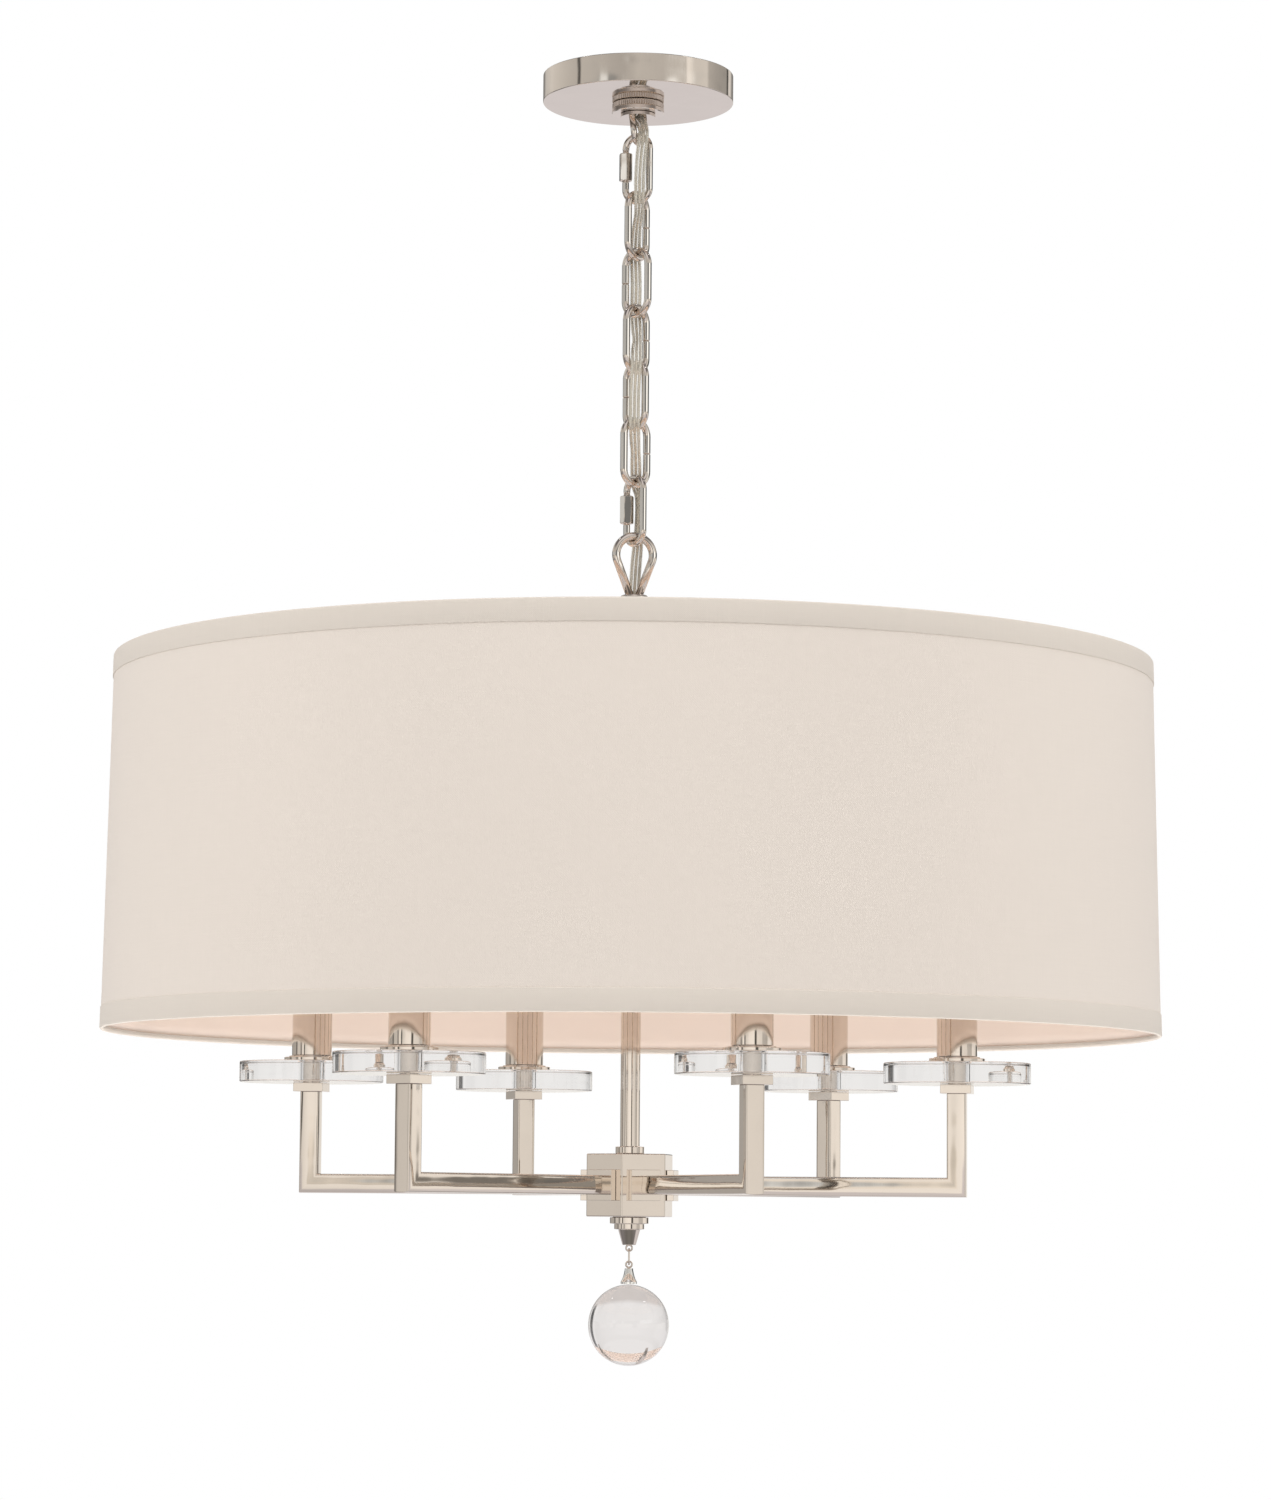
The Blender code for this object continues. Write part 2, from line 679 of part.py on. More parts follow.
def shade_spider(parent, seat_top):
    """The ring in the shade's top rim, three arms and the centre ring that sits on the stem."""
    hub_bottom = seat_top + GAP
    hub_top = hub_bottom + SPIDER_HUB_THICKNESS
    rim = hub_top + SHADE_RIM_ABOVE_SPIDER_HUB
    ring_height = rim - SPIDER_RING_BELOW_RIM
    liner = shade_radius(SHADE_HEIGHT - SPIDER_RING_BELOW_RIM) - TRIM_PROUD - SHADE_WALL
    ring_radius = liner - 2 * GAP - SPIDER_WIRE / 2
    half = SPIDER_WIRE / 2
    section = [(ring_radius + a * half, ring_height + b * half) for a, b in SQUARE_CORNERS]
    ring = turned("shade_spider", section, SHADE_SIDES)
    hub_radius = SPIDER_HUB_DIAMETER / 2
    hole = STEM_DIAMETER / 2 + GAP
    hub = turned("spider_hub", [
        (hole, hub_top),
        (hub_radius, hub_top),
        (hub_radius, hub_bottom),
        (hole, hub_bottom),
    ], STEM_SIDES)
    arms = []
    for k in range(SPIDER_ARMS):
        azimuth = math.pi / 2 + math.tau * k / SPIDER_ARMS
        inner = (hub_radius - WELD, 0, (hub_bottom + hub_top) / 2)
        outer = (ring_radius, 0, ring_height)
        arms.append(moved(rod("spider_arm", inner, outer, SPIDER_WIRE, WIRE_SIDES), (0, 0, 0), azimuth))
    made = fused("shade_spider", ring, adds=[hub] + arms)
    piece("shade_spider", made, "steel", parent)
    return hub_top, rim


def shade_nut(parent, hub_top):
    """The six-sided nut that clamps the spider on the stem."""
    top = hub_top + GAP + SHADE_NUT_HEIGHT
    hole = STEM_DIAMETER / 2 + GAP
    flats = SHADE_NUT_FLATS / 2
    profile = [
        (hole, top),
        (flats, top),
        (flats, top - NUT_CHAMFER, hexagon_form),
        (flats, hub_top + GAP, hexagon_form),
        (hole, hub_top + GAP),
    ]
    piece("shade_nut", turned("shade_nut", profile, STEM_SIDES), "nickel", parent)


def shade_drum(parent, rim):
    """The drum: a slightly tapered wall with a trim tape standing proud round each rim."""
    bottom = rim - SHADE_HEIGHT

    def point(height_in_shade, inset):
        return (shade_radius(height_in_shade) - inset, bottom + height_in_shade)

    upper_trim = SHADE_HEIGHT - TRIM_HEIGHT
    liner = TRIM_PROUD + SHADE_WALL
    profile = [
        point(SHADE_HEIGHT, liner),
        point(SHADE_HEIGHT, 0),
        point(upper_trim, 0),
        point(upper_trim, TRIM_PROUD),
        point(TRIM_HEIGHT, TRIM_PROUD),
        point(TRIM_HEIGHT, 0),
        point(0, 0),
        point(0, liner),
    ]
    piece("shade_drum", turned("shade_drum", profile, SHADE_SIDES), "cloth", parent)


def hub_body(parent, top):
    """The six-sided block, with a socket for the stem, a wiring space and six wire holes."""
    flats = HUB_SIDE * math.cos(math.pi / 6)
    middle = top - HUB_HEIGHT / 2
    prism = turned("hub_body", [
        (0, top),
        (flats, top, hexagon_form),
        (flats, top - HUB_HEIGHT, hexagon_form),
        (0, top - HUB_HEIGHT),
    ], ARM_COUNT)
    moved(prism, (0, 0, 0), FIRST_ARM_AZIMUTH + math.pi / ARM_COUNT)
    stem_hole = STEM_DIAMETER / 2 + GAP
    space_top = top - HUB_TOP_WALL
    space = turned("wiring_space", [
        (0, top + OVERRUN),
        (stem_hole, top + OVERRUN),
        (stem_hole, space_top),
        (HUB_BORE / 2, space_top),
        (HUB_BORE / 2, top - HUB_HEIGHT - OVERRUN),
        (0, top - HUB_HEIGHT - OVERRUN),
    ], STEM_SIDES)
    cuts = [space]
    for k in range(ARM_COUNT):
        start = (HUB_BORE / 2 - OVERRUN, 0, middle)
        end = (flats + OVERRUN, 0, middle)
        hole = rod("wire_hole", start, end, HUB_WIRE_HOLE, WIRE_SIDES)
        cuts.append(moved(hole, (0, 0, 0), FIRST_ARM_AZIMUTH + math.tau * k / ARM_COUNT))
    piece("hub_body", fused("hub_body", prism, cuts=cuts), "nickel", parent)
    return flats, middle, top - HUB_HEIGHT


def square_elbow(name, start, reach, height, side):
    """A square bar from start along X to reach, mitred, and then up to height."""
    half = side / 2
    first = [Vector((start, a * half, b * half)) for a, b in SQUARE_CORNERS]
    mitre = [Vector((reach - b * half, a * half, b * half)) for a, b in SQUARE_CORNERS]
    last = [Vector((reach - b * half, a * half, height)) for a, b in SQUARE_CORNERS]
    return swept(name, [first, mitre, last], False)


def arm_mesh(hub_flats):
    """One arm along +X from the hub's centre line: flange, tube, post, cup and spigot."""
    inner_face = hub_flats + GAP
    cup_top = ARM_RISE + CUP_HEIGHT
    tube = square_elbow("arm", inner_face, ARM_REACH, ARM_RISE + WELD, ARM_TUBE)
    half = FLANGE_SIDE / 2
    outer_corner = (inner_face + FLANGE_THICKNESS, half, half)
    flange = block("flange", (inner_face, -half, -half), outer_corner, PLATE_CHAMFER)
    half = CUP_SIDE / 2
    cup = block("cup", (ARM_REACH - half, -half, ARM_RISE), (ARM_REACH + half, half, cup_top), PLATE_CHAMFER)
    spigot_top = cup_top + GAP + DISC_THICKNESS
    nipple_top = spigot_top + NIPPLE_LENGTH
    spigot = turned("spigot", [
        (0, nipple_top),
        (NIPPLE_DIAMETER / 2, nipple_top),
        (NIPPLE_DIAMETER / 2, spigot_top),
        (SPIGOT_DIAMETER / 2, spigot_top),
        (SPIGOT_DIAMETER / 2, cup_top - WELD),
        (0, cup_top - WELD),
    ], SPIGOT_SIDES)
    moved(spigot, (ARM_REACH, 0, 0))
    bore_side = ARM_TUBE - 2 * ARM_WALL
    tube_bore = square_elbow("tube_bore", inner_face - OVERRUN, ARM_REACH, ARM_RISE, bore_side)
    up = (ARM_REACH, 0, nipple_top + OVERRUN)
    down = (ARM_REACH, 0, ARM_RISE - OVERRUN)
    wire_bore = rod("wire_bore", up, down, SPIGOT_BORE, SPIGOT_SIDES)
    return fused("arm", tube, adds=[flange, cup, spigot], cuts=[tube_bore, wire_bore])


def disc_mesh():
    """A thick glass disc with polished bevels and a centre hole, its underside at its origin."""
    outer = DISC_DIAMETER / 2
    hole = SPIGOT_DIAMETER / 2 + 2 * GAP
    return turned("glass_disc", [
        (hole, DISC_THICKNESS),
        (outer - DISC_EDGE, DISC_THICKNESS),
        (outer, DISC_THICKNESS - DISC_EDGE),
        (outer, DISC_EDGE),
        (outer - DISC_EDGE, 0),
        (hole, 0),
    ], DISC_SIDES)


def candle_plate_mesh():
    """A thin stepped plate on the nipple, its underside at its origin."""
    hole = NIPPLE_DIAMETER / 2 + GAP
    outer = PLATE_DIAMETER / 2
    step = PLATE_STEP_DIAMETER / 2
    step_top = PLATE_THICKNESS + PLATE_STEP_HEIGHT
    return turned("candle_plate", [
        (hole, step_top),
        (step, step_top),
        (step, PLATE_THICKNESS),
        (outer, PLATE_THICKNESS),
        (outer, 0),
        (hole, 0),
    ], CANDLE_SIDES)


def sleeve_mesh():
    """The open candle tube, its foot at its origin."""
    outer = SLEEVE_DIAMETER / 2
    inner = outer - SLEEVE_WALL
    profile = [(inner, SLEEVE_LENGTH), (outer, SLEEVE_LENGTH), (outer, 0), (inner, 0)]
    return turned("candle_sleeve", profile, CANDLE_SIDES)


def socket_mesh():
    """The lamp socket on its foot, bored for the nipple below and the bulb's cap above."""
    top = SLEEVE_LENGTH - SOCKET_BELOW_SLEEVE_TOP
    foot = SOCKET_FOOT_DIAMETER / 2
    body = SOCKET_DIAMETER / 2
    mouth = SOCKET_MOUTH / 2
    mouth_floor = top - SOCKET_MOUTH_DEPTH
    thread = NIPPLE_DIAMETER / 2 + GAP
    thread_top = NIPPLE_LENGTH
    return turned("lamp_socket", [
        (0, mouth_floor),
        (mouth, mouth_floor),
        (mouth, top),
        (body, top),
        (body, SOCKET_FOOT_LENGTH),
        (foot, SOCKET_FOOT_LENGTH),
        (foot, 0),
        (thread, 0),
        (thread, thread_top),
        (0, thread_top),
    ], BULB_SIDES)


def bulb_mesh():
    """A candelabra bulb: a screw cap in the socket and a torpedo glass above it."""
    cap = BULB_CAP_DIAMETER / 2
    top = SLEEVE_LENGTH - SOCKET_BELOW_SLEEVE_TOP
    foot = top - SOCKET_MOUTH_DEPTH + GAP
    glass = top + GAP
    outline = [(0, foot), (cap, foot), (cap, glass)]
    for radius_share, length_share in BULB_OUTLINE_SHARES:
        outline.append((BULB_GLASS_DIAMETER / 2 * radius_share, glass + BULB_GLASS_LENGTH * length_share))
    return turned("bulb", outline, BULB_SIDES)


def lights(parent, hub_flats, middle):
    """Six arms round the hub, each with its disc, plate, sleeve, socket and bulb."""
    arm = arm_mesh(hub_flats)
    disc = disc_mesh()
    plate = candle_plate_mesh()
    sleeve = sleeve_mesh()
    socket = socket_mesh()
    bulb = bulb_mesh()
    disc_foot = middle + ARM_RISE + CUP_HEIGHT + GAP
    plate_foot = disc_foot + DISC_THICKNESS + GAP
    candle_foot = plate_foot + PLATE_THICKNESS + PLATE_STEP_HEIGHT + GAP
    for k in range(ARM_COUNT):
        azimuth = FIRST_ARM_AZIMUTH + math.tau * k / ARM_COUNT
        post = (ARM_REACH * math.cos(azimuth), ARM_REACH * math.sin(azimuth))
        number = k + 1
        piece(f"arm_{number}", arm, "nickel", parent, (0, 0, middle), azimuth)
        piece(f"glass_disc_{number}", disc, "glass", parent, (*post, disc_foot), azimuth)
        piece(f"candle_plate_{number}", plate, "nickel", parent, (*post, plate_foot), azimuth)
        piece(f"candle_sleeve_{number}", sleeve, "nickel", parent, (*post, candle_foot), azimuth)
        piece(f"lamp_socket_{number}", socket, "phenolic", parent, (*post, candle_foot), azimuth)
        piece(f"bulb_{number}", bulb, "bulb", parent, (*post, candle_foot), azimuth)


def eyelet(name, top, turn):
    """A small wire ring in an upright plane, welded to the piece above it at its top."""
    radius = (EYELET_DIAMETER - EYELET_WIRE) / 2
    path = arc(radius, top - radius, 0, math.tau, EYELET_SIDES)[:-1]
    return moved(wire(name, path, EYELET_WIRE, FINE_SIDES, True), (0, 0, 0), turn)


def finial(parent, hub_bottom):
    """Two washers and a cone under the hub, with the eyelet that the ball hangs on."""
    spigot = HUB_BORE / 2 - GAP
    washer = WASHER_DIAMETER / 2
    small = SMALL_WASHER_DIAMETER / 2
    level_1 = hub_bottom - GAP
    level_2 = level_1 - WASHER_THICKNESS
    level_3 = level_2 - SMALL_WASHER_THICKNESS
    level_4 = level_3 - CONE_HEIGHT
    body = turned("finial", [
        (0, level_1 + FINIAL_SPIGOT_LENGTH),
        (spigot, level_1 + FINIAL_SPIGOT_LENGTH),
        (spigot, level_1),
        (washer, level_1),
        (washer, level_2),
        (small, level_2),
        (small, level_3),
        (CONE_TOP_DIAMETER / 2, level_3),
        (CONE_BOTTOM_DIAMETER / 2, level_4),
        (0, level_4),
    ], FINIAL_SIDES)
    ring = eyelet("eyelet", level_4, 0)
    piece("finial", fused("finial", body, adds=[ring]), "nickel", parent)
    return level_4 - EYELET_DIAMETER + EYELET_WIRE


def ball_link(parent, hang):
    """The thin oval link between the eyelet and the ball's cap, edge on to the viewer."""
    top = BALL_LINK_WIRE + GAP
    path = oval_path(BALL_LINK_WIDTH - BALL_LINK_WIRE, BALL_LINK_LENGTH - BALL_LINK_WIRE, top, FINE_SIDES)
    swing = pivot("ball_link_swing", parent, (0, 0, hang))
    mesh = wire("ball_link", path, BALL_LINK_WIRE, FINE_SIDES, True)
    piece("ball_link", mesh, "nickel", swing, (0, 0, hang), math.pi / 2)
    return swing, hang + top - BALL_LINK_LENGTH + BALL_LINK_WIRE


def ball(parent, hang):
    """The cap with its own eyelet, and the clear glass ball that is cemented into it."""
    swing = pivot("ball_swing", parent, (0, 0, hang))
    ring_top = (BALL_LINK_WIRE + EYELET_WIRE) / 2 + GAP
    cap_top = ring_top - EYELET_DIAMETER + EYELET_WIRE
    cap_foot = cap_top - CAP_HEIGHT
    base = CAP_BASE_DIAMETER / 2
    cap = turned("ball_cap", [
        (0, cap_top),
        (CAP_TOP_DIAMETER / 2, cap_top),
        (base, cap_foot + CAP_RIM),
        (base, cap_foot),
        (0, cap_foot),
    ], BULB_SIDES)
    ring = eyelet("cap_eyelet", ring_top, 0)
    piece("ball_cap", fused("ball_cap", cap, adds=[ring]), "nickel", swing, (0, 0, hang))
    radius = BALL_DIAMETER / 2
    centre = cap_foot - GAP - radius
    angles = [math.pi * k / BALL_RINGS for k in range(BALL_RINGS + 1)]
    profile = [(radius * math.sin(a), centre + radius * math.cos(a)) for a in angles[1:-1]]
    profile = [(0, centre + radius)] + profile + [(0, centre - radius)]
    piece("glass_ball", turned("glass_ball", profile, BALL_SIDES), "glass", swing, (0, 0, hang))


def smooth_route(points, step):
    """Points about one step apart on a smooth curve through the given ones."""
    vectors = [Vector(p) for p in points]
    ends = [2 * vectors[0] - vectors[1]] + vectors + [2 * vectors[-1] - vectors[-2]]
    found = []
    for p0, p1, p2, p3 in zip(ends, ends[1:], ends[2:], ends[3:]):
        count = max(1, round((p2 - p1).xyz.length / step))
        for k in range(count):
            t = k / count
            bend = (2 * p0 - 5 * p1 + 4 * p2 - p3) * t * t + (3 * p1 - p0 - 3 * p2 + p3) * t ** 3
            found.append((2 * p1 + (p2 - p0) * t + bend) / 2)
    return found + [vectors[-1]]


def power_cord(hub_middle):
    """The flat clear cord, whole from the strap to the hub's wiring space."""
    woven = [(x, y, z, math.radians(a)) for x, y, z, a in CORD_ROUTE]
    line = smooth_route(woven, CORD_STEP)
    line.append(Vector((0, 0, hub_middle + CORD_END_ABOVE_HUB_MIDDLE, 0)))
    sections = []
    for k, point in enumerate(line):
        before = line[max(k - 1, 0)].xyz
        after = line[min(k + 1, len(line) - 1)].xyz
        along = (after - before).normalized()
        wide = Vector((math.cos(point.w), math.sin(point.w), 0))
        wide = (wide - along * wide.dot(along)).normalized()
        thin = along.cross(wide)
        section = []
        for s in range(CORD_SIDES):
            angle = math.tau * (s + 0.5) / CORD_SIDES
            offset = wide * math.cos(angle) * CORD_WIDTH + thin * math.sin(angle) * CORD_THICKNESS
            section.append(point.xyz + offset / 2)
        sections.append(section)
    piece("power_cord", swept("power_cord", sections, False), "cord")


def chandelier():
    """Builds the chandelier from the ceiling down."""
    for thing in list(bpy.data.objects):
        bpy.data.objects.remove(thing)
    ceiling_strap()
    canopy_floor = canopy()
    ring_turn = pivot("collar_ring_turn", None, (0, 0, canopy_floor))
    ring_bottom = collar_ring(ring_turn, canopy_floor - GAP)
    hang = canopy_loop(ring_bottom - GAP)
    nut = nut_mesh()

    carrier = pivot("upper_quick_link_swing", None, (0, 0, hang))
    hang, leg = quick_link("upper_quick_link", carrier, hang, CANOPY_LOOP_ROD, UPPER_QUICK_AZIMUTH)
    quick_link_nut("upper_quick_link_nut", nut, carrier, leg, UPPER_QUICK_AZIMUTH)
    above = QUICK_WIRE
    for number, azimuth in enumerate(LINK_AZIMUTHS, 1):
        carrier, hang = chain_link(number, carrier, hang, above, azimuth)
        above = LINK_WIRE
    carrier = pivot("lower_quick_link_swing", carrier, (0, 0, hang))
    hang, leg = quick_link("lower_quick_link", carrier, hang, LINK_WIRE, LOWER_QUICK_AZIMUTH)
    quick_link_nut("lower_quick_link_nut", nut, carrier, leg, LOWER_QUICK_AZIMUTH)

    fixture = pivot("fixture_swing", carrier, (0, 0, hang))
    base_bottom = stem_loop(fixture, hang)
    seat_top, hub_top = stem_tube(fixture, base_bottom)
    spider_top, rim = shade_spider(fixture, seat_top)
    shade_nut(fixture, spider_top)
    shade_drum(fixture, rim)
    hub_flats, hub_middle, hub_bottom = hub_body(fixture, hub_top)
    lights(fixture, hub_flats, hub_middle)
    eyelet_bottom = finial(fixture, hub_bottom)
    swing, link_bottom = ball_link(fixture, eyelet_bottom)
    ball(swing, link_bottom)
    power_cord(hub_middle)


chandelier()
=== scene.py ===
"""The looks of a six-light drum chandelier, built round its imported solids.

Lengths are in metres and +Z is up. Most pieces have their place in their mesh and stand at the
world's origin. The sleeve nuts, the hub, the arms and the six lights are placed by their matrix.
"""

import math

import bmesh
import bpy
from mathutils import Matrix, Vector


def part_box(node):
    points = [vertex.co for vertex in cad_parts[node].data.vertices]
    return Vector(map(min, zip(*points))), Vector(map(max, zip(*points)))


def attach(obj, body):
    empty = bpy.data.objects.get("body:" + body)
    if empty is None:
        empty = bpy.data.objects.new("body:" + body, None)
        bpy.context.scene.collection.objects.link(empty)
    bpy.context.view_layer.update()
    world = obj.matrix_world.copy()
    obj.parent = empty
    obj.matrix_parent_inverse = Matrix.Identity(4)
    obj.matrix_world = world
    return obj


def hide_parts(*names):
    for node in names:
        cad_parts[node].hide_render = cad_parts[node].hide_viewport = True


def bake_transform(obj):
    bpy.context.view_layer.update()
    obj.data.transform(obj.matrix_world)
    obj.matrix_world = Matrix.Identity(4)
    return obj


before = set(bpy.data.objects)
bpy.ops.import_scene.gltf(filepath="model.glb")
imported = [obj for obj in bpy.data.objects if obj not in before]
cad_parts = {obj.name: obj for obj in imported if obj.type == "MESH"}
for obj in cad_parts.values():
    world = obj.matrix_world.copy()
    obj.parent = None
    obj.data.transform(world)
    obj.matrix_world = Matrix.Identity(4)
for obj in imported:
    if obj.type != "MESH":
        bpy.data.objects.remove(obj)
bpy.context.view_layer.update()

# Studio: a white sweep that the chandelier hangs in front of, lit by broad lamps. Polished metal
# shows the room around it in eight bands of height: floor, panels, doors, windows and a ceiling
# that is bright above the camera. Clear glass bends the sweep and the room's dim sides into view.
FLOOR_BELOW_CEILING = 2.4
FLOOR_SPAN = 16.0
FLOOR_WHITE = (0.90, 0.90, 0.90, 1)
SWEEP_WHITE = (1.0, 1.0, 1.0, 1)
FLOOR_SHADOW_SHARE = 0.12
ROOM_LIGHT = (0.60, 0.60, 0.60, 1)
# Each band: the rises of a ray between which it fades in, its paint, and its brightness by the
# share of a full turn from the camera's side, through the left, the sweep and the right
COOL, WARM, BROWN = (1.0, 0.960, 0.985), (1.0, 0.965, 0.915), (1.0, 0.94, 0.85)
SILVER = (0.965, 1.0, 1.01)
ROOM_BANDS = [
    (-1.0, -0.9, COOL, [(0.0, 0.80), (0.5, 0.80), (1.0, 0.80)]),
    (-0.66, -0.60, WARM, [(0.0, 0.24), (0.25, 0.14), (0.5, 0.26), (0.75, 0.14), (1.0, 0.24)]),
    (-0.50, -0.40, COOL, [
        (0.00, 0.84), (0.08, 0.72), (0.15, 0.36), (0.30, 0.22), (0.42, 0.76), (0.46, 0.79),
        (0.54, 0.79), (0.64, 0.72), (0.70, 0.84), (0.75, 0.84), (0.79, 0.30), (0.85, 0.40),
        (0.92, 0.74), (1.00, 0.84),
    ]),
    (-0.14, -0.08, WARM, [
        (0.000, 1.22), (0.052, 1.14), (0.100, 0.90), (0.108, 0.10), (0.118, 0.10),
        (0.126, 1.15), (0.148, 1.15), (0.156, 0.34), (0.180, 0.36), (0.192, 0.80), (0.245, 0.78),
        (0.258, 0.18), (0.274, 0.20),
        (0.290, 0.56), (0.412, 0.48), (0.420, 0.12), (0.452, 0.16), (0.468, 0.94), (0.578, 0.94),
        (0.588, 0.10), (0.634, 0.10), (0.646, 0.74), (0.696, 1.12), (0.748, 1.12),
        (0.760, 0.66), (0.828, 0.68), (0.854, 0.96), (0.930, 0.98), (0.942, 0.10), (0.962, 0.10),
        (0.972, 1.20),
    ]),
    (0.038, 0.052, BROWN, [
        (0.000, 1.08), (0.051, 1.10), (0.056, 0.80), (0.092, 0.66), (0.104, 0.07), (0.126, 0.07),
        (0.138, 1.24), (0.166, 1.20), (0.184, 0.44), (0.250, 0.36), (0.264, 0.08), (0.310, 0.16),
        (0.330, 0.26), (0.352, 0.22), (0.430, 0.22), (0.450, 0.08), (0.470, 0.70), (0.545, 0.70),
        (0.570, 0.08), (0.632, 0.08), (0.662, 0.40), (0.684, 0.26), (0.750, 0.24), (0.826, 0.50),
        (0.842, 0.10), (0.856, 1.10), (0.930, 1.20), (0.942, 0.08), (0.962, 0.08), (0.972, 1.12),
    ]),
    (0.075, 0.095, SILVER, [
        (0.000, 0.22), (0.028, 0.24), (0.036, 1.00), (0.050, 1.00), (0.058, 0.26), (0.098, 0.34),
        (0.108, 1.20), (0.126, 1.20), (0.136, 0.46), (0.210, 0.56), (0.290, 0.86), (0.315, 0.80),
        (0.335, 0.10), (0.460, 0.06), (0.480, 0.40), (0.520, 0.40), (0.540, 0.06), (0.660, 0.06),
        (0.700, 0.12), (0.735, 0.20), (0.750, 0.62), (0.790, 0.70), (0.805, 1.60), (0.900, 1.60),
        (0.918, 0.24), (1.000, 0.22),
    ]),
    (0.232, 0.240, WARM, [
        (0.000, 0.70), (0.035, 0.60), (0.045, 0.56), (0.100, 0.60), (0.205, 0.66), (0.209, 0.10),
        (0.217, 0.10), (0.221, 0.62), (0.300, 0.74), (0.360, 0.84), (0.420, 0.66), (0.445, 0.26),
        (0.560, 0.26), (0.585, 0.84), (0.604, 0.86), (0.610, 0.08), (0.618, 0.08), (0.626, 0.42),
        (0.700, 0.50), (0.735, 0.58), (0.745, 0.86), (0.800, 0.82), (0.818, 1.04), (0.828, 1.06),
        (0.836, 0.70), (0.920, 0.66), (1.000, 0.70),
    ]),
    (0.40, 0.62, COOL, [
        (0.00, 0.85), (0.07, 0.80), (0.11, 0.16), (0.50, 0.30), (0.89, 0.16), (0.93, 0.80), (1.00, 0.85),
    ]),
]
# What clear glass bends into view, by the same turn: the white sweep, then the dim sides and
# one stand that the ball and the discs show as a thin dark line on their left
GLASS_PAINT = (1.0, 0.985, 0.970)
THROUGH_GLASS = [
    (0.00, 0.86), (0.16, 0.72), (0.24, 0.55), (0.27, 0.34), (0.29, 0.60), (0.34, 0.80),
    (0.44, 0.84), (0.56, 0.84), (0.62, 0.80), (0.640, 0.90), (0.650, 0.03), (0.676, 0.03),
    (0.684, 0.98), (0.70, 0.90), (0.74, 0.62), (0.84, 0.72), (1.00, 0.86),
]
# The floor in glass is a little duller and rosy, with its edge well below the camera's level
GLASS_FLOOR = (0.64, 0.60, 0.575, 1)
GLASS_FLOOR_RISE = (-0.40, -0.50)
# Four small lamps over the sweep, which glass and rounded edges show as white spots: the
# direction of each, and the cosine of half its width
SPARKS = [
    ((-0.20, 0.63, 0.75), 0.9990), ((0.33, 0.54, 0.77), 0.9992), ((-0.53, 0.18, 0.83), 0.9991),
    ((0.57, -0.03, 0.82), 0.9989),
]
SPARK_LEVEL = 9.0
WALL_WAVE = 0.006
WALL_WAVE_SCALE = 3.0
CAMERA_DISTANCE = 3.30
CAMERA_ACROSS = 0.0018
CAMERA_HEIGHT = -0.835
CAMERA_PITCH = math.radians(5.81)
CAMERA_ROLL = math.radians(0.45)
FOCAL_PIXELS = 4568
PHOTO_HEIGHT_PIXELS = 1500
SENSOR = 36.0
# Each lamp: its name, its place, the point it faces, its width and height, and its watts
SOFTBOXES = [
    ("left_softbox", (-3.5, -2.0, 0.5), (0, 0, -0.6), 1.6, 2.4, 54),
    ("right_softbox", (3.5, -2.0, 0.2), (0, 0, -0.6), 1.2, 2.4, 43),
    ("top_softbox", (0.3, -1.0, 2.2), (0, 0, -0.5), 2.4, 1.6, 34),
    ("floor_bounce", (0, 0.1, -2.3), (0, 0, -0.5), 0.8, 0.8, 20),
]


def feed(tree, node, inputs):
    """Gives each of a node's inputs its value, or a link from another node's output."""
    for key, value in inputs.items():
        if isinstance(value, bpy.types.NodeSocket):
            tree.links.new(value, node.inputs[key])
        else:
            node.inputs[key].default_value = value
    return node


def add(tree, kind, inputs=None, **settings):
    """A new node with its settings and its inputs."""
    made = tree.nodes.new(kind)
    for key, value in settings.items():
        setattr(made, key, value)
    return feed(tree, made, inputs or {})


def maths(tree, operation, *values, **settings):
    """The result of a math node on numbers or on other nodes' outputs."""
    sums = dict(enumerate(values))
    return add(tree, "ShaderNodeMath", sums, operation=operation, **settings).outputs["Value"]


def ranged(tree, value, low, high, to_low=0.0, to_high=1.0):
    """A value moved from one range to another and held within it."""
    ends = {"Value": value, "From Min": low, "From Max": high, "To Min": to_low, "To Max": to_high}
    return add(tree, "ShaderNodeMapRange", ends).outputs["Result"]


def mixed(tree, share, colour, other):
    """Two colours mixed by a share."""
    inputs = {"Factor": share, "A": colour, "B": other}
    return add(tree, "ShaderNodeMix", inputs, data_type="RGBA").outputs["Result"]


def noise(tree, where, scale, detail, roughness=0.5):
    """Cloudy noise between 0 and 1."""
    inputs = {"Vector": where, "Scale": scale, "Detail": detail, "Roughness": roughness}
    return add(tree, "ShaderNodeTexNoise", inputs).outputs["Fac"]


def studio_camera():
    data = bpy.data.cameras.new("studio_camera")
    data.sensor_width = SENSOR
    data.lens = FOCAL_PIXELS / PHOTO_HEIGHT_PIXELS * SENSOR
    camera = bpy.data.objects.new("studio_camera", data)
    bpy.context.scene.collection.objects.link(camera)
    place = Matrix.Translation((CAMERA_ACROSS, -CAMERA_DISTANCE, CAMERA_HEIGHT))
    tilt = Matrix.Rotation(math.pi / 2 + CAMERA_PITCH, 4, "X")
    camera.matrix_world = place @ tilt @ Matrix.Rotation(CAMERA_ROLL, 4, "Z")
    bpy.context.scene.camera = camera


def painted_round(tree, share, paint, levels):
    """A paint's brightness by the share of a turn."""
    ramp = add(tree, "ShaderNodeValToRGB", {"Fac": share})
    stops = ramp.color_ramp.elements
    stops.remove(stops[-1])
    stops[0].position = 0.0
    for position, level in levels:
        stop = stops[0] if position == 0 else stops.new(position)
        stop.color = (*(level * part for part in paint), 1)
    return ramp.outputs["Color"]


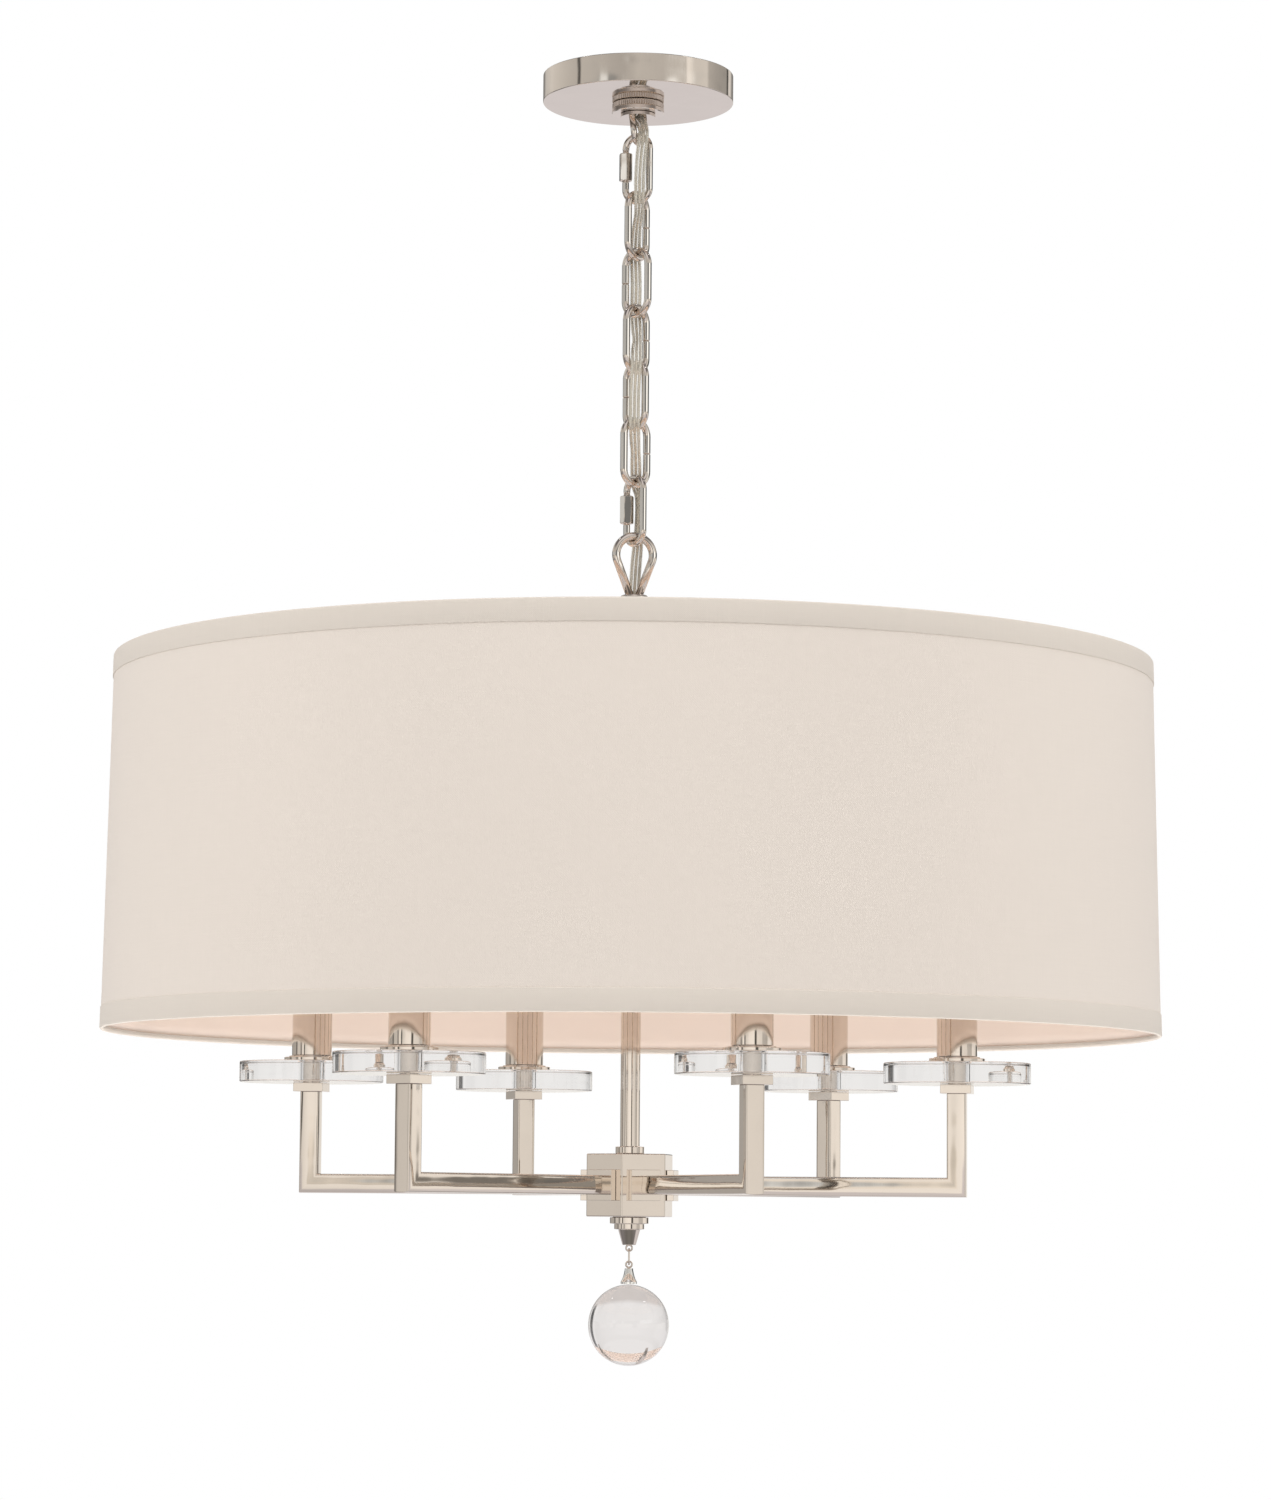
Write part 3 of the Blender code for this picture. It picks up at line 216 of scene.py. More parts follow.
def studio_world():
    world = bpy.data.worlds.new("studio_room")
    bpy.context.scene.world = world
    world.use_nodes = True
    tree = world.node_tree
    tree.nodes.clear()
    rays = add(tree, "ShaderNodeLightPath").outputs
    where = add(tree, "ShaderNodeTexCoord").outputs["Generated"]
    parts = add(tree, "ShaderNodeSeparateXYZ", {"Vector": where}).outputs
    share = ranged(tree, maths(tree, "ARCTAN2", parts["X"], parts["Y"]), -math.pi, math.pi)
    bend = ranged(tree, noise(tree, where, WALL_WAVE_SCALE, 1.0), 0.0, 1.0, -WALL_WAVE, WALL_WAVE)
    rise = maths(tree, "ADD", bend, parts["Z"])
    bands = [painted_round(tree, share, paint, levels) for low, high, paint, levels in ROOM_BANDS]
    room = bands[0]
    for (low, high, paint, levels), band in zip(ROOM_BANDS[1:], bands[1:]):
        room = mixed(tree, ranged(tree, rise, low, high), room, band)
    for direction, cosine in SPARKS:
        sides = {0: where, 1: Vector(direction).normalized()}
        near = add(tree, "ShaderNodeVectorMath", sides, operation="DOT_PRODUCT").outputs["Value"]
        inside = maths(tree, "GREATER_THAN", near, cosine)
        room = mixed(tree, inside, room, (SPARK_LEVEL,) * 3 + (1,))
    sweep = painted_round(tree, share, GLASS_PAINT, THROUGH_GLASS)
    glass = mixed(tree, ranged(tree, parts["Z"], *GLASS_FLOOR_RISE), sweep, GLASS_FLOOR)
    light = mixed(tree, rays["Is Glossy Ray"], ROOM_LIGHT, room)
    light = mixed(tree, rays["Is Transmission Ray"], light, glass)
    light = mixed(tree, rays["Is Camera Ray"], light, SWEEP_WHITE)
    back = add(tree, "ShaderNodeBackground", {"Color": light, "Strength": 1.0})
    add(tree, "ShaderNodeOutputWorld", {"Surface": back.outputs["Background"]})


def studio_floor():
    bm = bmesh.new()
    bmesh.ops.create_grid(bm, x_segments=1, y_segments=1, size=FLOOR_SPAN / 2)
    mesh = bpy.data.meshes.new("studio_floor")
    bm.to_mesh(mesh)
    bm.free()
    floor = bpy.data.objects.new("studio_floor", mesh)
    bpy.context.scene.collection.objects.link(floor)
    floor.location.z = -FLOOR_BELOW_CEILING
    paint = bpy.data.materials.new("studio_floor")
    paint.use_nodes = True
    tree = paint.node_tree
    tree.nodes.clear()
    rays = add(tree, "ShaderNodeLightPath").outputs
    back = add(tree, "ShaderNodeNewGeometry").outputs["Backfacing"]
    card = add(tree, "ShaderNodeBsdfDiffuse", {"Color": FLOOR_WHITE}).outputs["BSDF"]
    glow = add(tree, "ShaderNodeEmission", {"Color": SWEEP_WHITE}).outputs["Emission"]
    clear = add(tree, "ShaderNodeBsdfTransparent").outputs["BSDF"]
    most = maths(tree, "MULTIPLY", rays["Is Camera Ray"], 1 - FLOOR_SHADOW_SHARE)
    lit = add(tree, "ShaderNodeMixShader", {"Fac": most, 1: card, 2: glow}).outputs["Shader"]
    bent = maths(tree, "MAXIMUM", rays["Is Glossy Ray"], rays["Is Transmission Ray"])
    unseen = maths(tree, "MAXIMUM", bent, back)
    floor_or_room = add(tree, "ShaderNodeMixShader", {"Fac": unseen, 1: lit, 2: clear})
    add(tree, "ShaderNodeOutputMaterial", {"Surface": floor_or_room.outputs["Shader"]})
    mesh.materials.append(paint)


def studio_lamp(name, place, aim, width, height, watts):
    data = bpy.data.lights.new(name, "AREA")
    data.shape = "RECTANGLE"
    data.size = width
    data.size_y = height
    data.energy = watts
    lamp = bpy.data.objects.new(name, data)
    bpy.context.scene.collection.objects.link(lamp)
    lamp.location = place
    lamp.rotation_mode = "QUATERNION"
    lamp.rotation_quaternion = (Vector(aim) - Vector(place)).to_track_quat("-Z", "Y")
    lamp.visible_camera = lamp.visible_glossy = lamp.visible_transmission = False


studio_camera()
studio_world()
studio_floor()
for softbox in SOFTBOXES:
    studio_lamp(*softbox)
bpy.context.scene.view_settings.view_transform = "Standard"

# Ceiling strap: a flat zinc-plated bar under the ceiling box, punched for two screws and tapped
# in the middle for the canopy loop's neck. The cut edges are a little rounded by the plating.
ZINC = (0.50, 0.51, 0.50)
RUBBED_STRETCH = (1400.0, 1400.0, 90.0)
POLISHING_SCALE = 42.0
PATCH_ROUGHENING = 0.35


def group(name, values):
    """A shader group with a colour, a roughness and more values, and what it is given."""
    tree = bpy.data.node_groups.new(name, "ShaderNodeTree")
    given = ["Colour", "Roughness"] + values
    for side, sockets in (("INPUT", given), ("OUTPUT", ["Colour", "Roughness", "Height"])):
        for socket in sockets:
            kind = "NodeSocketColor" if socket == "Colour" else "NodeSocketFloat"
            tree.interface.new_socket(socket, in_out=side, socket_type=kind)
    return tree, add(tree, "NodeGroupInput").outputs


def shaded(tree, colour, amount):
    """A colour made lighter by an amount, or darker by one below 0."""
    inputs = {0: colour, "Scale": maths(tree, "ADD", amount, 1.0)}
    return add(tree, "ShaderNodeVectorMath", inputs, operation="SCALE").outputs["Vector"]


def stretched_noise(tree, where, stretch):
    drawn = add(tree, "ShaderNodeMapping", {"Vector": where, "Scale": stretch})
    return noise(tree, drawn.outputs["Vector"], 1.0, 2.0)


def handling_marks():
    """Cloudy patches from handling, fine rubbed streaks and slow waves from the polishing wheel."""
    tree, given = group("handling_marks", ["Patch Size", "Patch Strength", "Streaks", "Waves"])
    where = add(tree, "ShaderNodeTexCoord").outputs["Object"]
    patches = noise(tree, where, maths(tree, "DIVIDE", 1.0, given["Patch Size"]), 4.0, 0.6)
    amount = maths(tree, "MULTIPLY", maths(tree, "SUBTRACT", patches, 0.5), given["Patch Strength"])
    streaks = stretched_noise(tree, where, RUBBED_STRETCH)
    rubbed = maths(tree, "MULTIPLY_ADD", streaks, given["Streaks"], given["Roughness"])
    waves = noise(tree, where, POLISHING_SCALE, 1.0)
    add(tree, "NodeGroupOutput", {
        "Colour": shaded(tree, given["Colour"], amount),
        "Roughness": maths(tree, "MULTIPLY_ADD", amount, PATCH_ROUGHENING, rubbed, use_clamp=True),
        "Height": maths(tree, "MULTIPLY_ADD", waves, given["Waves"], streaks),
    })
    return tree


HANDLED = handling_marks()


def finish(name, colour, roughness, pattern, values, bump, sockets=None):
    """A material whose colour, roughness and relief come from a shared group."""
    made = bpy.data.materials.new(name)
    made.use_nodes = True
    tree = made.node_tree
    given = {"Colour": (*colour, 1), "Roughness": roughness, **values}
    marks = add(tree, "ShaderNodeGroup", given, node_tree=pattern).outputs
    relief = add(tree, "ShaderNodeBump", {"Distance": bump, "Height": marks["Height"]})
    feed(tree, tree.nodes["Principled BSDF"], {
        "Base Color": marks["Colour"], "Roughness": marks["Roughness"],
        "Normal": relief.outputs["Normal"], **(sockets or {}),
    })
    return made


def handled(name, colour, roughness, patch, strength, streaks, bump, sockets=None, waves=0.0):
    """A finish with handling marks: patches of a size and strength, streaks and waves."""
    values = {"Patch Size": patch, "Patch Strength": strength, "Streaks": streaks, "Waves": waves}
    return finish(name, colour, roughness, HANDLED, values, bump, sockets)


def metal(name, colour, roughness, patch=0.03, strength=0.10, streaks=0.05, bump=0.0000015, waves=0.0):
    return handled(name, colour, roughness, patch, strength, streaks, bump, {"Metallic": 1.0}, waves)


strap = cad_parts["ceiling_strap"]
strap.data.materials.clear()
zinc_plate = metal("zinc_plate", ZINC, 0.34, patch=0.012, strength=0.25, streaks=0.20, bump=0.00001)
strap.data.materials.append(zinc_plate)

# Canopy loop: a turned brass neck with a thread that the strap and the knurled ring run on, a
# step below them, and a bent rod welded to the step. All of it is polished and nickel-plated.
NICKEL = (0.715, 0.650, 0.585)
NICKEL_ROUGHNESS = 0.03
THREAD_PITCH = 0.0011
THREAD_DEPTH = 0.0003
LOOP_ROD = 0.0046
LOOP_BEND = 0.0055
LOOP_HALF_WIDTH = 0.0096
LOOP_AZIMUTH = math.radians(62)
LOOP_EDGE = 0.0004
STEP_HEIGHT = 0.0024
STEP_CLEARANCE = 0.0003
NECK_RADIUS = 0.0092
NECK_BORE = 0.0054
WIRE_SIDES = 24
TURNED_SIDES = 96
LOOP_STEPS = 36
BEND_ANGLE = math.radians(28)
BOTH_ENDS = (0, -1)
POLISHING_WAVES = 110.0
polished_nickel = metal("polished_nickel", NICKEL, NICKEL_ROUGHNESS, waves=POLISHING_WAVES)


def rounded(thing, width, segments=3):
    """Rounds the sharp edges of a piece."""
    edge = thing.modifiers.new("rounded_edges", "BEVEL")
    edge.width = width
    edge.segments = segments
    edge.limit_method = "ANGLE"
    edge.angle_limit = BEND_ANGLE
    edge.harden_normals = True
    return thing


def round_form(angle):
    return 1.0


def from_rings(name, rings, closed=False, capped=()):
    """A skin over rings of points, closed on itself or capped at the rings that are named."""
    bm = bmesh.new()
    levels = [[bm.verts.new(p) for p in ring] for ring in rings]
    pairs = list(zip(levels, levels[1:]))
    if closed:
        pairs.append((levels[-1], levels[0]))
    for upper, lower in pairs:
        count = max(len(upper), len(lower))
        for k in range(count):
            n = (k + 1) % count
            corners = [upper[k % len(upper)], upper[n % len(upper)]]
            corners += [lower[n % len(lower)], lower[k % len(lower)]]
            bm.faces.new(list(dict.fromkeys(corners)))
    for end in capped:
        bm.faces.new(levels[end])
    bmesh.ops.recalc_face_normals(bm, faces=bm.faces)
    mesh = bpy.data.meshes.new(name)
    bm.to_mesh(mesh)
    bm.free()
    mesh.shade_smooth()
    return mesh


def turned(name, outline, sides=TURNED_SIDES):
    """A turned skin from points (radius, height) or (radius, height, form of the ring)."""
    rings = []
    for radius, height, *form in outline:
        shape = form[0] if form else round_form
        ring = []
        for k in range(sides if radius > 0 else 1):
            angle = math.tau * k / sides
            reach = radius * shape(angle)
            ring.append((reach * math.cos(angle), reach * math.sin(angle), height))
        rings.append(ring)
    return from_rings(name, rings, closed=outline[0][0] > 0)


def shown(mesh, material=None, place=None):
    """An object for a mesh, with its material."""
    thing = bpy.data.objects.new(mesh.name, mesh)
    bpy.context.scene.collection.objects.link(thing)
    if material and not mesh.materials:
        mesh.materials.append(material)
    if place:
        thing.matrix_world = place
    return thing


def settle(thing, body, node):
    """The piece rides on its body and stands for its solid."""
    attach(thing, body)
    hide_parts(node)
    return thing


def piece(mesh, body, slot, node, edge=0, segments=2, material=polished_nickel, place=None, name=None):
    """A mesh shown in its finish and place, with rounded edges, and settled on its body."""
    thing = shown(mesh, material, place)
    thing.name = name or mesh.name
    if edge:
        rounded(thing, edge, segments)
    return settle(thing, body, node)


def arc(radius, centre_height, start, end, steps):
    angles = [start + (end - start) * k / steps for k in range(steps + 1)]
    return [(radius * math.cos(a), centre_height + radius * math.sin(a)) for a in angles]


def eye_path(radius, centre_height, end_half_width, end_height, steps):
    """A bend with two straight legs that touch it and end at the given place."""
    rise = end_height - centre_height
    opening = math.acos(radius / math.hypot(end_half_width, rise))
    side = -1 if rise > 0 else 1
    touch = math.atan2(rise, end_half_width) + side * opening
    bend = arc(radius, centre_height, touch, side * math.pi - touch, steps)
    return [(end_half_width, end_height)] + bend + [(-end_half_width, end_height)]


def wire(name, path, radii, azimuth, closed=False):
    """A round wire along points (across, height) in an upright plane at the azimuth."""
    plane = Vector((math.cos(azimuth), math.sin(azimuth), 0))
    depth = Vector((-plane.y, plane.x, 0))
    rings = []
    for k, (across, height) in enumerate(path):
        before = path[k - 1] if closed or k else path[k]
        after = path[(k + 1) % len(path)] if closed or k < len(path) - 1 else path[k]
        along = Vector((after[0] - before[0], after[1] - before[1])).normalized()
        outward = plane * along.y - Vector((0, 0, along.x))
        centre = plane * across + Vector((0, 0, height))
        radius = radii[k] if isinstance(radii, list) else radii
        angles = [math.tau * (s + 0.5) / WIRE_SIDES for s in range(WIRE_SIDES)]
        rings.append([centre + (outward * math.cos(a) + depth * math.sin(a)) * radius for a in angles])
    return from_rings(name, rings, closed, () if closed else BOTH_ENDS)


def thread(radius, top, bottom):
    """Outline points down a threaded stretch, from its top to its bottom."""
    turns = max(1, round((top - bottom) / THREAD_PITCH))
    points = []
    for k in range(turns):
        height = top - (top - bottom) * k / turns
        points += [(radius - THREAD_DEPTH, height), (radius, height - (top - bottom) / turns / 2)]
    return points + [(radius - THREAD_DEPTH, bottom)]


def canopy_loop():
    low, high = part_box("canopy_loop")
    step_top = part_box("collar_ring")[0].z - STEP_CLEARANCE
    step_bottom = step_top - STEP_HEIGHT
    outline = [(NECK_BORE, high.z)] + thread(NECK_RADIUS, high.z, step_top)
    outline += [(high.x, step_top), (high.x, step_bottom), (NECK_BORE, step_bottom)]
    neck = turned("canopy_neck", outline)
    piece(neck, "ceiling_mount", "loop_nickel", "canopy_loop", LOOP_EDGE / 2)
    centre = low.z + LOOP_ROD / 2 + LOOP_BEND
    path = eye_path(LOOP_BEND, centre, LOOP_HALF_WIDTH, step_bottom + LOOP_EDGE, LOOP_STEPS)
    bow = wire("canopy_bow", path, LOOP_ROD / 2, LOOP_AZIMUTH)
    piece(bow, "ceiling_mount", "loop_nickel", "canopy_loop")


canopy_loop()

# Canopy: a flat dish spun from sheet steel, with a tight bend between its side and underside and
# its open edge turned in against the ceiling. The underside is polished nearly to a mirror.
CANOPY_WALL = 0.0014
CANOPY_BEND = 0.0012
CANOPY_HOLE_CLEARANCE = 0.0006
CANOPY_SIDES = 160


def canopy():
    low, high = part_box("canopy")
    hole = NECK_RADIUS + CANOPY_HOLE_CLEARANCE
    outline = [
        (hole, low.z), (high.x, low.z), (high.x, high.z), (high.x - CANOPY_WALL, high.z),
        (high.x - CANOPY_WALL, low.z + CANOPY_WALL), (hole, low.z + CANOPY_WALL),
    ]
    dish = turned("canopy_dish", outline, CANOPY_SIDES)
    piece(dish, "ceiling_mount", "canopy_nickel", "canopy", CANOPY_BEND / 2, 4)


canopy()

# Knurled ring: screwed up the neck by hand to hold the canopy against the ceiling. Upright
# flutes run round its upper half, and a smooth band below them stands slightly proud.
FLUTES = 64
FLUTE_DEPTH_SHARE = 0.045
POINTS_PER_FLUTE = 6
RING_BORE_CLEARANCE = 0.0003
# Heights on the ring as shares of its own height
FLUTED_SHARE = 0.56
GROOVE_SHARE = 0.08
RING_EDGE = 0.0003


def flute_form(angle):
    wave = math.cos(angle * FLUTES)
    return 1 - FLUTE_DEPTH_SHARE * (0.5 - 0.5 * wave) ** 2


def collar_ring():
    low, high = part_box("collar_ring")
    height = high.z - low.z
    bore = NECK_RADIUS + RING_BORE_CLEARANCE
    band_top = high.z - height * FLUTED_SHARE
    groove = height * GROOVE_SHARE
    flutes = high.x - RING_EDGE
    outline = [
        (bore, high.z), (flutes - 2 * RING_EDGE, high.z), (flutes, high.z - 2 * RING_EDGE, flute_form),
        (flutes, band_top + groove, flute_form), (flutes - groove, band_top + groove / 2),
        (high.x - groove / 2, band_top), (high.x, band_top - groove / 2),
        (high.x, low.z + 2 * RING_EDGE), (high.x - 2 * RING_EDGE, low.z), (bore, low.z),
    ]
    ring = turned("knurled_ring", outline, FLUTES * POINTS_PER_FLUTE)
    piece(ring, "collar_ring", "ring_nickel", "collar_ring", RING_EDGE / 2)


collar_ring()

# Quick links: an oval of thick wire, cut through in one leg and threaded on both sides of the
# cut. A long six-sided nut runs down the thread and closes it.
QUICK_WIRE = 0.005
QUICK_WIDTH = 0.0235
QUICK_GAP = 0.0044
QUICK_GAP_BELOW_NUT_TOP = 0.002
QUICK_THREAD_ABOVE_NUT = 0.0024
NUT_FLATS = 0.0088
NUT_EDGE = 0.0003
NUT_CHAMFER = 0.0009
NUT_CHAMFER_FOOT = 0.4
NUT_CHAMFER_SHARE = 0.6
NUT_BORE_CLEARANCE = 0.0003
NUT_SIDES = 96
# A six-sided bar's corners over half its flats
CORNER = 1 / math.cos(math.pi / 6)
QUICK_AZIMUTHS = {"upper_quick_link": math.radians(-20), "lower_quick_link": math.radians(-50)}
NEAR = 1e-6
BEND_STEPS = 28
LEG_STEPS = 60


def hexagon(angle):
    """The radius of a six-sided bar over half its flats, with its corners at the sixths."""
    sector = math.tau / 6
    return 1 / math.cos(angle % sector - sector / 2)


def chamfered(limit_share):
    """A six-sided ring whose corners are turned down to a share of half its flats."""
    return lambda angle: min(hexagon(angle), limit_share)


def oval_wire(width, top, bottom, cut_side, cut_low, cut_high):
    """Points round an oval, from below a cut in one leg round to above it."""
    radius = width / 2
    high, low = top - radius, bottom + radius
    upper = arc(radius, high, 0, math.pi, BEND_STEPS)
    lower = arc(radius, low, math.pi, math.tau, BEND_STEPS)
    shares = [k / LEG_STEPS for k in range(LEG_STEPS + 1)]
    start = [(radius, cut_high + (high - cut_high) * s) for s in shares[:-1]]
    far = [(-radius, high + (low - high) * s) for s in shares[1:-1]]
    end = [(radius, low + (cut_low - low) * s) for s in shares[1:]]
    return [(x * cut_side, z) for x, z in start + upper + far + lower + end]


def quick_link(name):
    low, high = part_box(name)
    nut_low, nut_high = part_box(name + "_nut")
    azimuth = QUICK_AZIMUTHS[name]
    half_wire = QUICK_WIRE / 2
    half_width = QUICK_WIDTH / 2 - half_wire
    top = nut_high.z - QUICK_GAP_BELOW_NUT_TOP
    cut = (-1, top - QUICK_GAP, top)
    path = oval_wire(QUICK_WIDTH - QUICK_WIRE, high.z - half_wire, low.z + half_wire, *cut)
    thread_top = nut_high.z + QUICK_THREAD_ABOVE_NUT
    thread_end = nut_low.z - THREAD_PITCH
    radii = []
    for across, height in path:
        on_leg = abs(across + half_width) < NEAR and thread_end < height < thread_top
        wave = 0.5 - 0.5 * math.cos(math.tau * height / THREAD_PITCH)
        radii.append(half_wire - (THREAD_DEPTH * wave if on_leg else 0))
    piece(wire(name + "_wire", path, radii, azimuth), name, "quick_link_nickel", name)
    nut_place = Matrix.Rotation(azimuth, 4, "Z") @ Matrix.Translation((-half_width, 0, 0))
    nut = quick_link_nut(name + "_sleeve_nut", nut_low.z, nut_high.z)
    piece(nut, name + "_nut", "nut_nickel", name + "_nut", NUT_EDGE, 3, place=nut_place)


def quick_link_nut(name, bottom, top):
    """A six-sided sleeve whose corners are turned down in two steps at both ends."""
    flats = NUT_FLATS / 2
    bore = QUICK_WIRE / 2 + NUT_BORE_CLEARANCE
    steps = [(NUT_CHAMFER_FOOT, 1 + (CORNER - 1) * NUT_CHAMFER_SHARE), (1.0, CORNER)]
    outline = [(bore, top), (flats, top)]
    outline += [(flats, top - NUT_CHAMFER * s, chamfered(share)) for s, share in steps]
    outline += [(flats, bottom + NUT_CHAMFER * s, chamfered(share)) for s, share in reversed(steps)]
    return turned(name, outline + [(flats, bottom), (bore, bottom)], NUT_SIDES)


quick_link("upper_quick_link")
quick_link("lower_quick_link")

# Chain: five links bent from plated steel wire and butted, not welded, so each shows a fine
# seam half way down one leg. The links hang alternately turned, and their seams change sides.
LINK_WIRE = 0.0054
LINK_WIDTH = 0.0268
LINK_AZIMUTHS = [math.radians(a) for a in (52, -40, 48, -50, 39)]
SEAM_SIDES = (1, -1, 1, -1, 1)
SEAM_GAP = 0.00025
SEAM_ROUNDING = 0.0006


def chain_link(number):
    name = f"chain_link_{number}"
    low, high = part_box(name)
    half_wire = LINK_WIRE / 2
    seam = (low.z + high.z) / 2
    path = oval_wire(
        LINK_WIDTH - LINK_WIRE, high.z - half_wire, low.z + half_wire, SEAM_SIDES[number - 1],
        seam - SEAM_GAP / 2, seam + SEAM_GAP / 2,
    )
    radii = [half_wire] * len(path)
    radii[0] = radii[-1] = half_wire - SEAM_ROUNDING / 2
    radii[1] = radii[-2] = half_wire - SEAM_ROUNDING / 8
    mesh = wire(name + "_wire", path, radii, LINK_AZIMUTHS[number - 1])
    piece(mesh, name, "chain_nickel", name)


for number in range(1, len(LINK_AZIMUTHS) + 1):
    chain_link(number)

# Power cord: three stranded wires laid side by side in one thin, clear, glossy jacket. It
# comes out of the neck, is woven through the chain and runs down the stem to the hub.
CORD_WIDTH = 0.0086
CORD_THICKNESS = 0.0042
CORD_STEP = 0.0022
JACKET_SIDES = 36
STRAND_RADIUS = 0.00098
STRAND_SPACING = 0.0028
STRAND_SIDES = 28
STRANDS_IN_BUNDLE = 7
STRAND_LAY = 0.060
STRAND_RELIEF_SHARE = 0.01
JACKET_COLOUR = (0.88, 0.83, 0.71)
JACKET_COVER = 0.30
TINNED = (0.66, 0.62, 0.55)
PALE_COPPER = (0.64, 0.57, 0.47)
LOBES = 3
LOBE_DEPTH_SHARE = 0.16
WIRE_ROUGHNESS = 0.10
JACKET_ROUGHNESS = 0.06
# Points that the cord passes, with the azimuth of its wide side in degrees
CORD_ROUTE = [
    (0.0000, 0.0000, -0.0040, -20), (-0.0004, 0.0002, -0.0200, -20), (-0.0003, -0.0001, -0.0303, -20),
    (0.0022, -0.0042, -0.0360, -20), (0.0039, -0.0076, -0.0415, -20), (0.0040, -0.0084, -0.0480, -12),
    (0.0026, -0.0081, -0.0600, -2), (0.0016, -0.0078, -0.0780, 0), (0.0016, -0.0084, -0.0920, 18),
    (0.0012, -0.0040, -0.1040, 40), (-0.0002, 0.0008, -0.1130, 35), (-0.0010, 0.0056, -0.1230, 12),
    (-0.0012, 0.0096, -0.1330, 2), (-0.0004, 0.0078, -0.1540, 0), (-0.0006, 0.0100, -0.1750, 0),
    (0.0000, 0.0050, -0.1865, -12), (0.0006, 0.0002, -0.1960, -38), (0.0002, -0.0050, -0.2060, -12),
    (0.0002, -0.0102, -0.2170, 0), (-0.0008, -0.0086, -0.2380, 0), (-0.0008, -0.0099, -0.2595, 0),
    (-0.0004, -0.0050, -0.2710, 14), (0.0002, 0.0000, -0.2805, 34), (0.0004, 0.0050, -0.2900, 4),
    (0.0008, 0.0104, -0.3020, -22), (0.0024, 0.0088, -0.3120, -60), (0.0024, 0.0088, -0.3320, -60),
    (0.0024, 0.0096, -0.3450, -30), (0.0010, 0.0086, -0.3640, 0), (0.0000, 0.0070, -0.3850, 0),
    (0.0000, 0.0022, -0.3960, 0), (0.0000, 0.0000, -0.4080, 0), (0.0000, 0.0000, -0.4300, 0),
]
CORD_BODIES = (
    ["ceiling_mount", "upper_quick_link"] + [f"chain_link_{n}" for n in range(1, 6)]
    + ["lower_quick_link", "fixture"]
)


def smooth_route(points, step):
    """Points about one step apart on a smooth curve through the given ones."""
    vectors = [Vector(p) for p in points]
    ends = [2 * vectors[0] - vectors[1]] + vectors + [2 * vectors[-1] - vectors[-2]]
    found = []
    for p0, p1, p2, p3 in zip(ends, ends[1:], ends[2:], ends[3:]):
        count = max(1, round((p2 - p1).xyz.length / step))
        for k in range(count):
            t = k / count
            bend = (2 * p0 - 5 * p1 + 4 * p2 - p3) * t * t + (3 * p1 - p0 - 3 * p2 + p3) * t ** 3
            found.append((2 * p1 + (p2 - p0) * t + bend) / 2)
    return found + [vectors[-1]]


def cord_line():
    """The cord's points, each with its direction's wide and thin side and the length so far."""
    woven = [(x, y, z, math.radians(a)) for x, y, z, a in CORD_ROUTE]
    line = smooth_route(woven, CORD_STEP)
    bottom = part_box("power_cord")[0].z
    start = line[-1].z
    count = round((start - bottom) / (4 * CORD_STEP))
    line += [Vector((0, 0, start + (bottom - start) * k / count, 0)) for k in range(1, count + 1)]
    stations = []
    run = 0.0
    for k, point in enumerate(line):
        before = line[max(k - 1, 0)].xyz
        after = line[min(k + 1, len(line) - 1)].xyz
        along = (after - before).normalized()
        wide = Vector((math.cos(point.w), math.sin(point.w), 0))
        wide = (wide - along * wide.dot(along)).normalized()
        run += (point.xyz - line[max(k - 1, 0)].xyz).length
        stations.append((point.xyz, wide, along.cross(wide), run))
    return stations


def jacket_ring(station):
    """Three soft lobes side by side, one over each wire."""
    centre, wide, thin, run = station
    ring = []
    for s in range(JACKET_SIDES):
        angle = math.tau * s / JACKET_SIDES
        across = math.cos(angle)
        wave = math.cos(math.tau * LOBES / 2 * across + math.pi)
        lobe = 1 - LOBE_DEPTH_SHARE * (0.5 - 0.5 * wave)
        offset = wide * across * CORD_WIDTH + thin * math.sin(angle) * CORD_THICKNESS * lobe
        ring.append(centre + offset / 2)
    return ring


def strand_ring(station, place):
    """A bundle of fine wires twisted together."""
    centre, wide, thin, run = station
    ring = []
    for s in range(STRAND_SIDES):
        angle = math.tau * (s / STRAND_SIDES + run / STRAND_LAY)
        crest = 0.5 + 0.5 * math.cos(math.tau * STRANDS_IN_BUNDLE * s / STRAND_SIDES)
        radius = STRAND_RADIUS * (1 - STRAND_RELIEF_SHARE * (1 - crest))
        across = place * STRAND_SPACING + radius * math.cos(angle)
        ring.append(centre + wide * across + thin * radius * math.sin(angle))
    return ring


def cord_stretches(stations):
    """The cord split half way along each body, so that every stretch crosses one joint."""
    levels = []
    for name in CORD_BODIES[1:-1]:
        low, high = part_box(name)
        levels.append((low.z + high.z) / 2)
    stretches = []
    first = 0
    for level in levels + [None]:
        last = len(stations) - 1
        if level is not None:
            last = next(k for k in range(first, len(stations)) if stations[k][0].z <= level)
        stretches.append(stations[first:last + 1])
        first = last
    return stretches


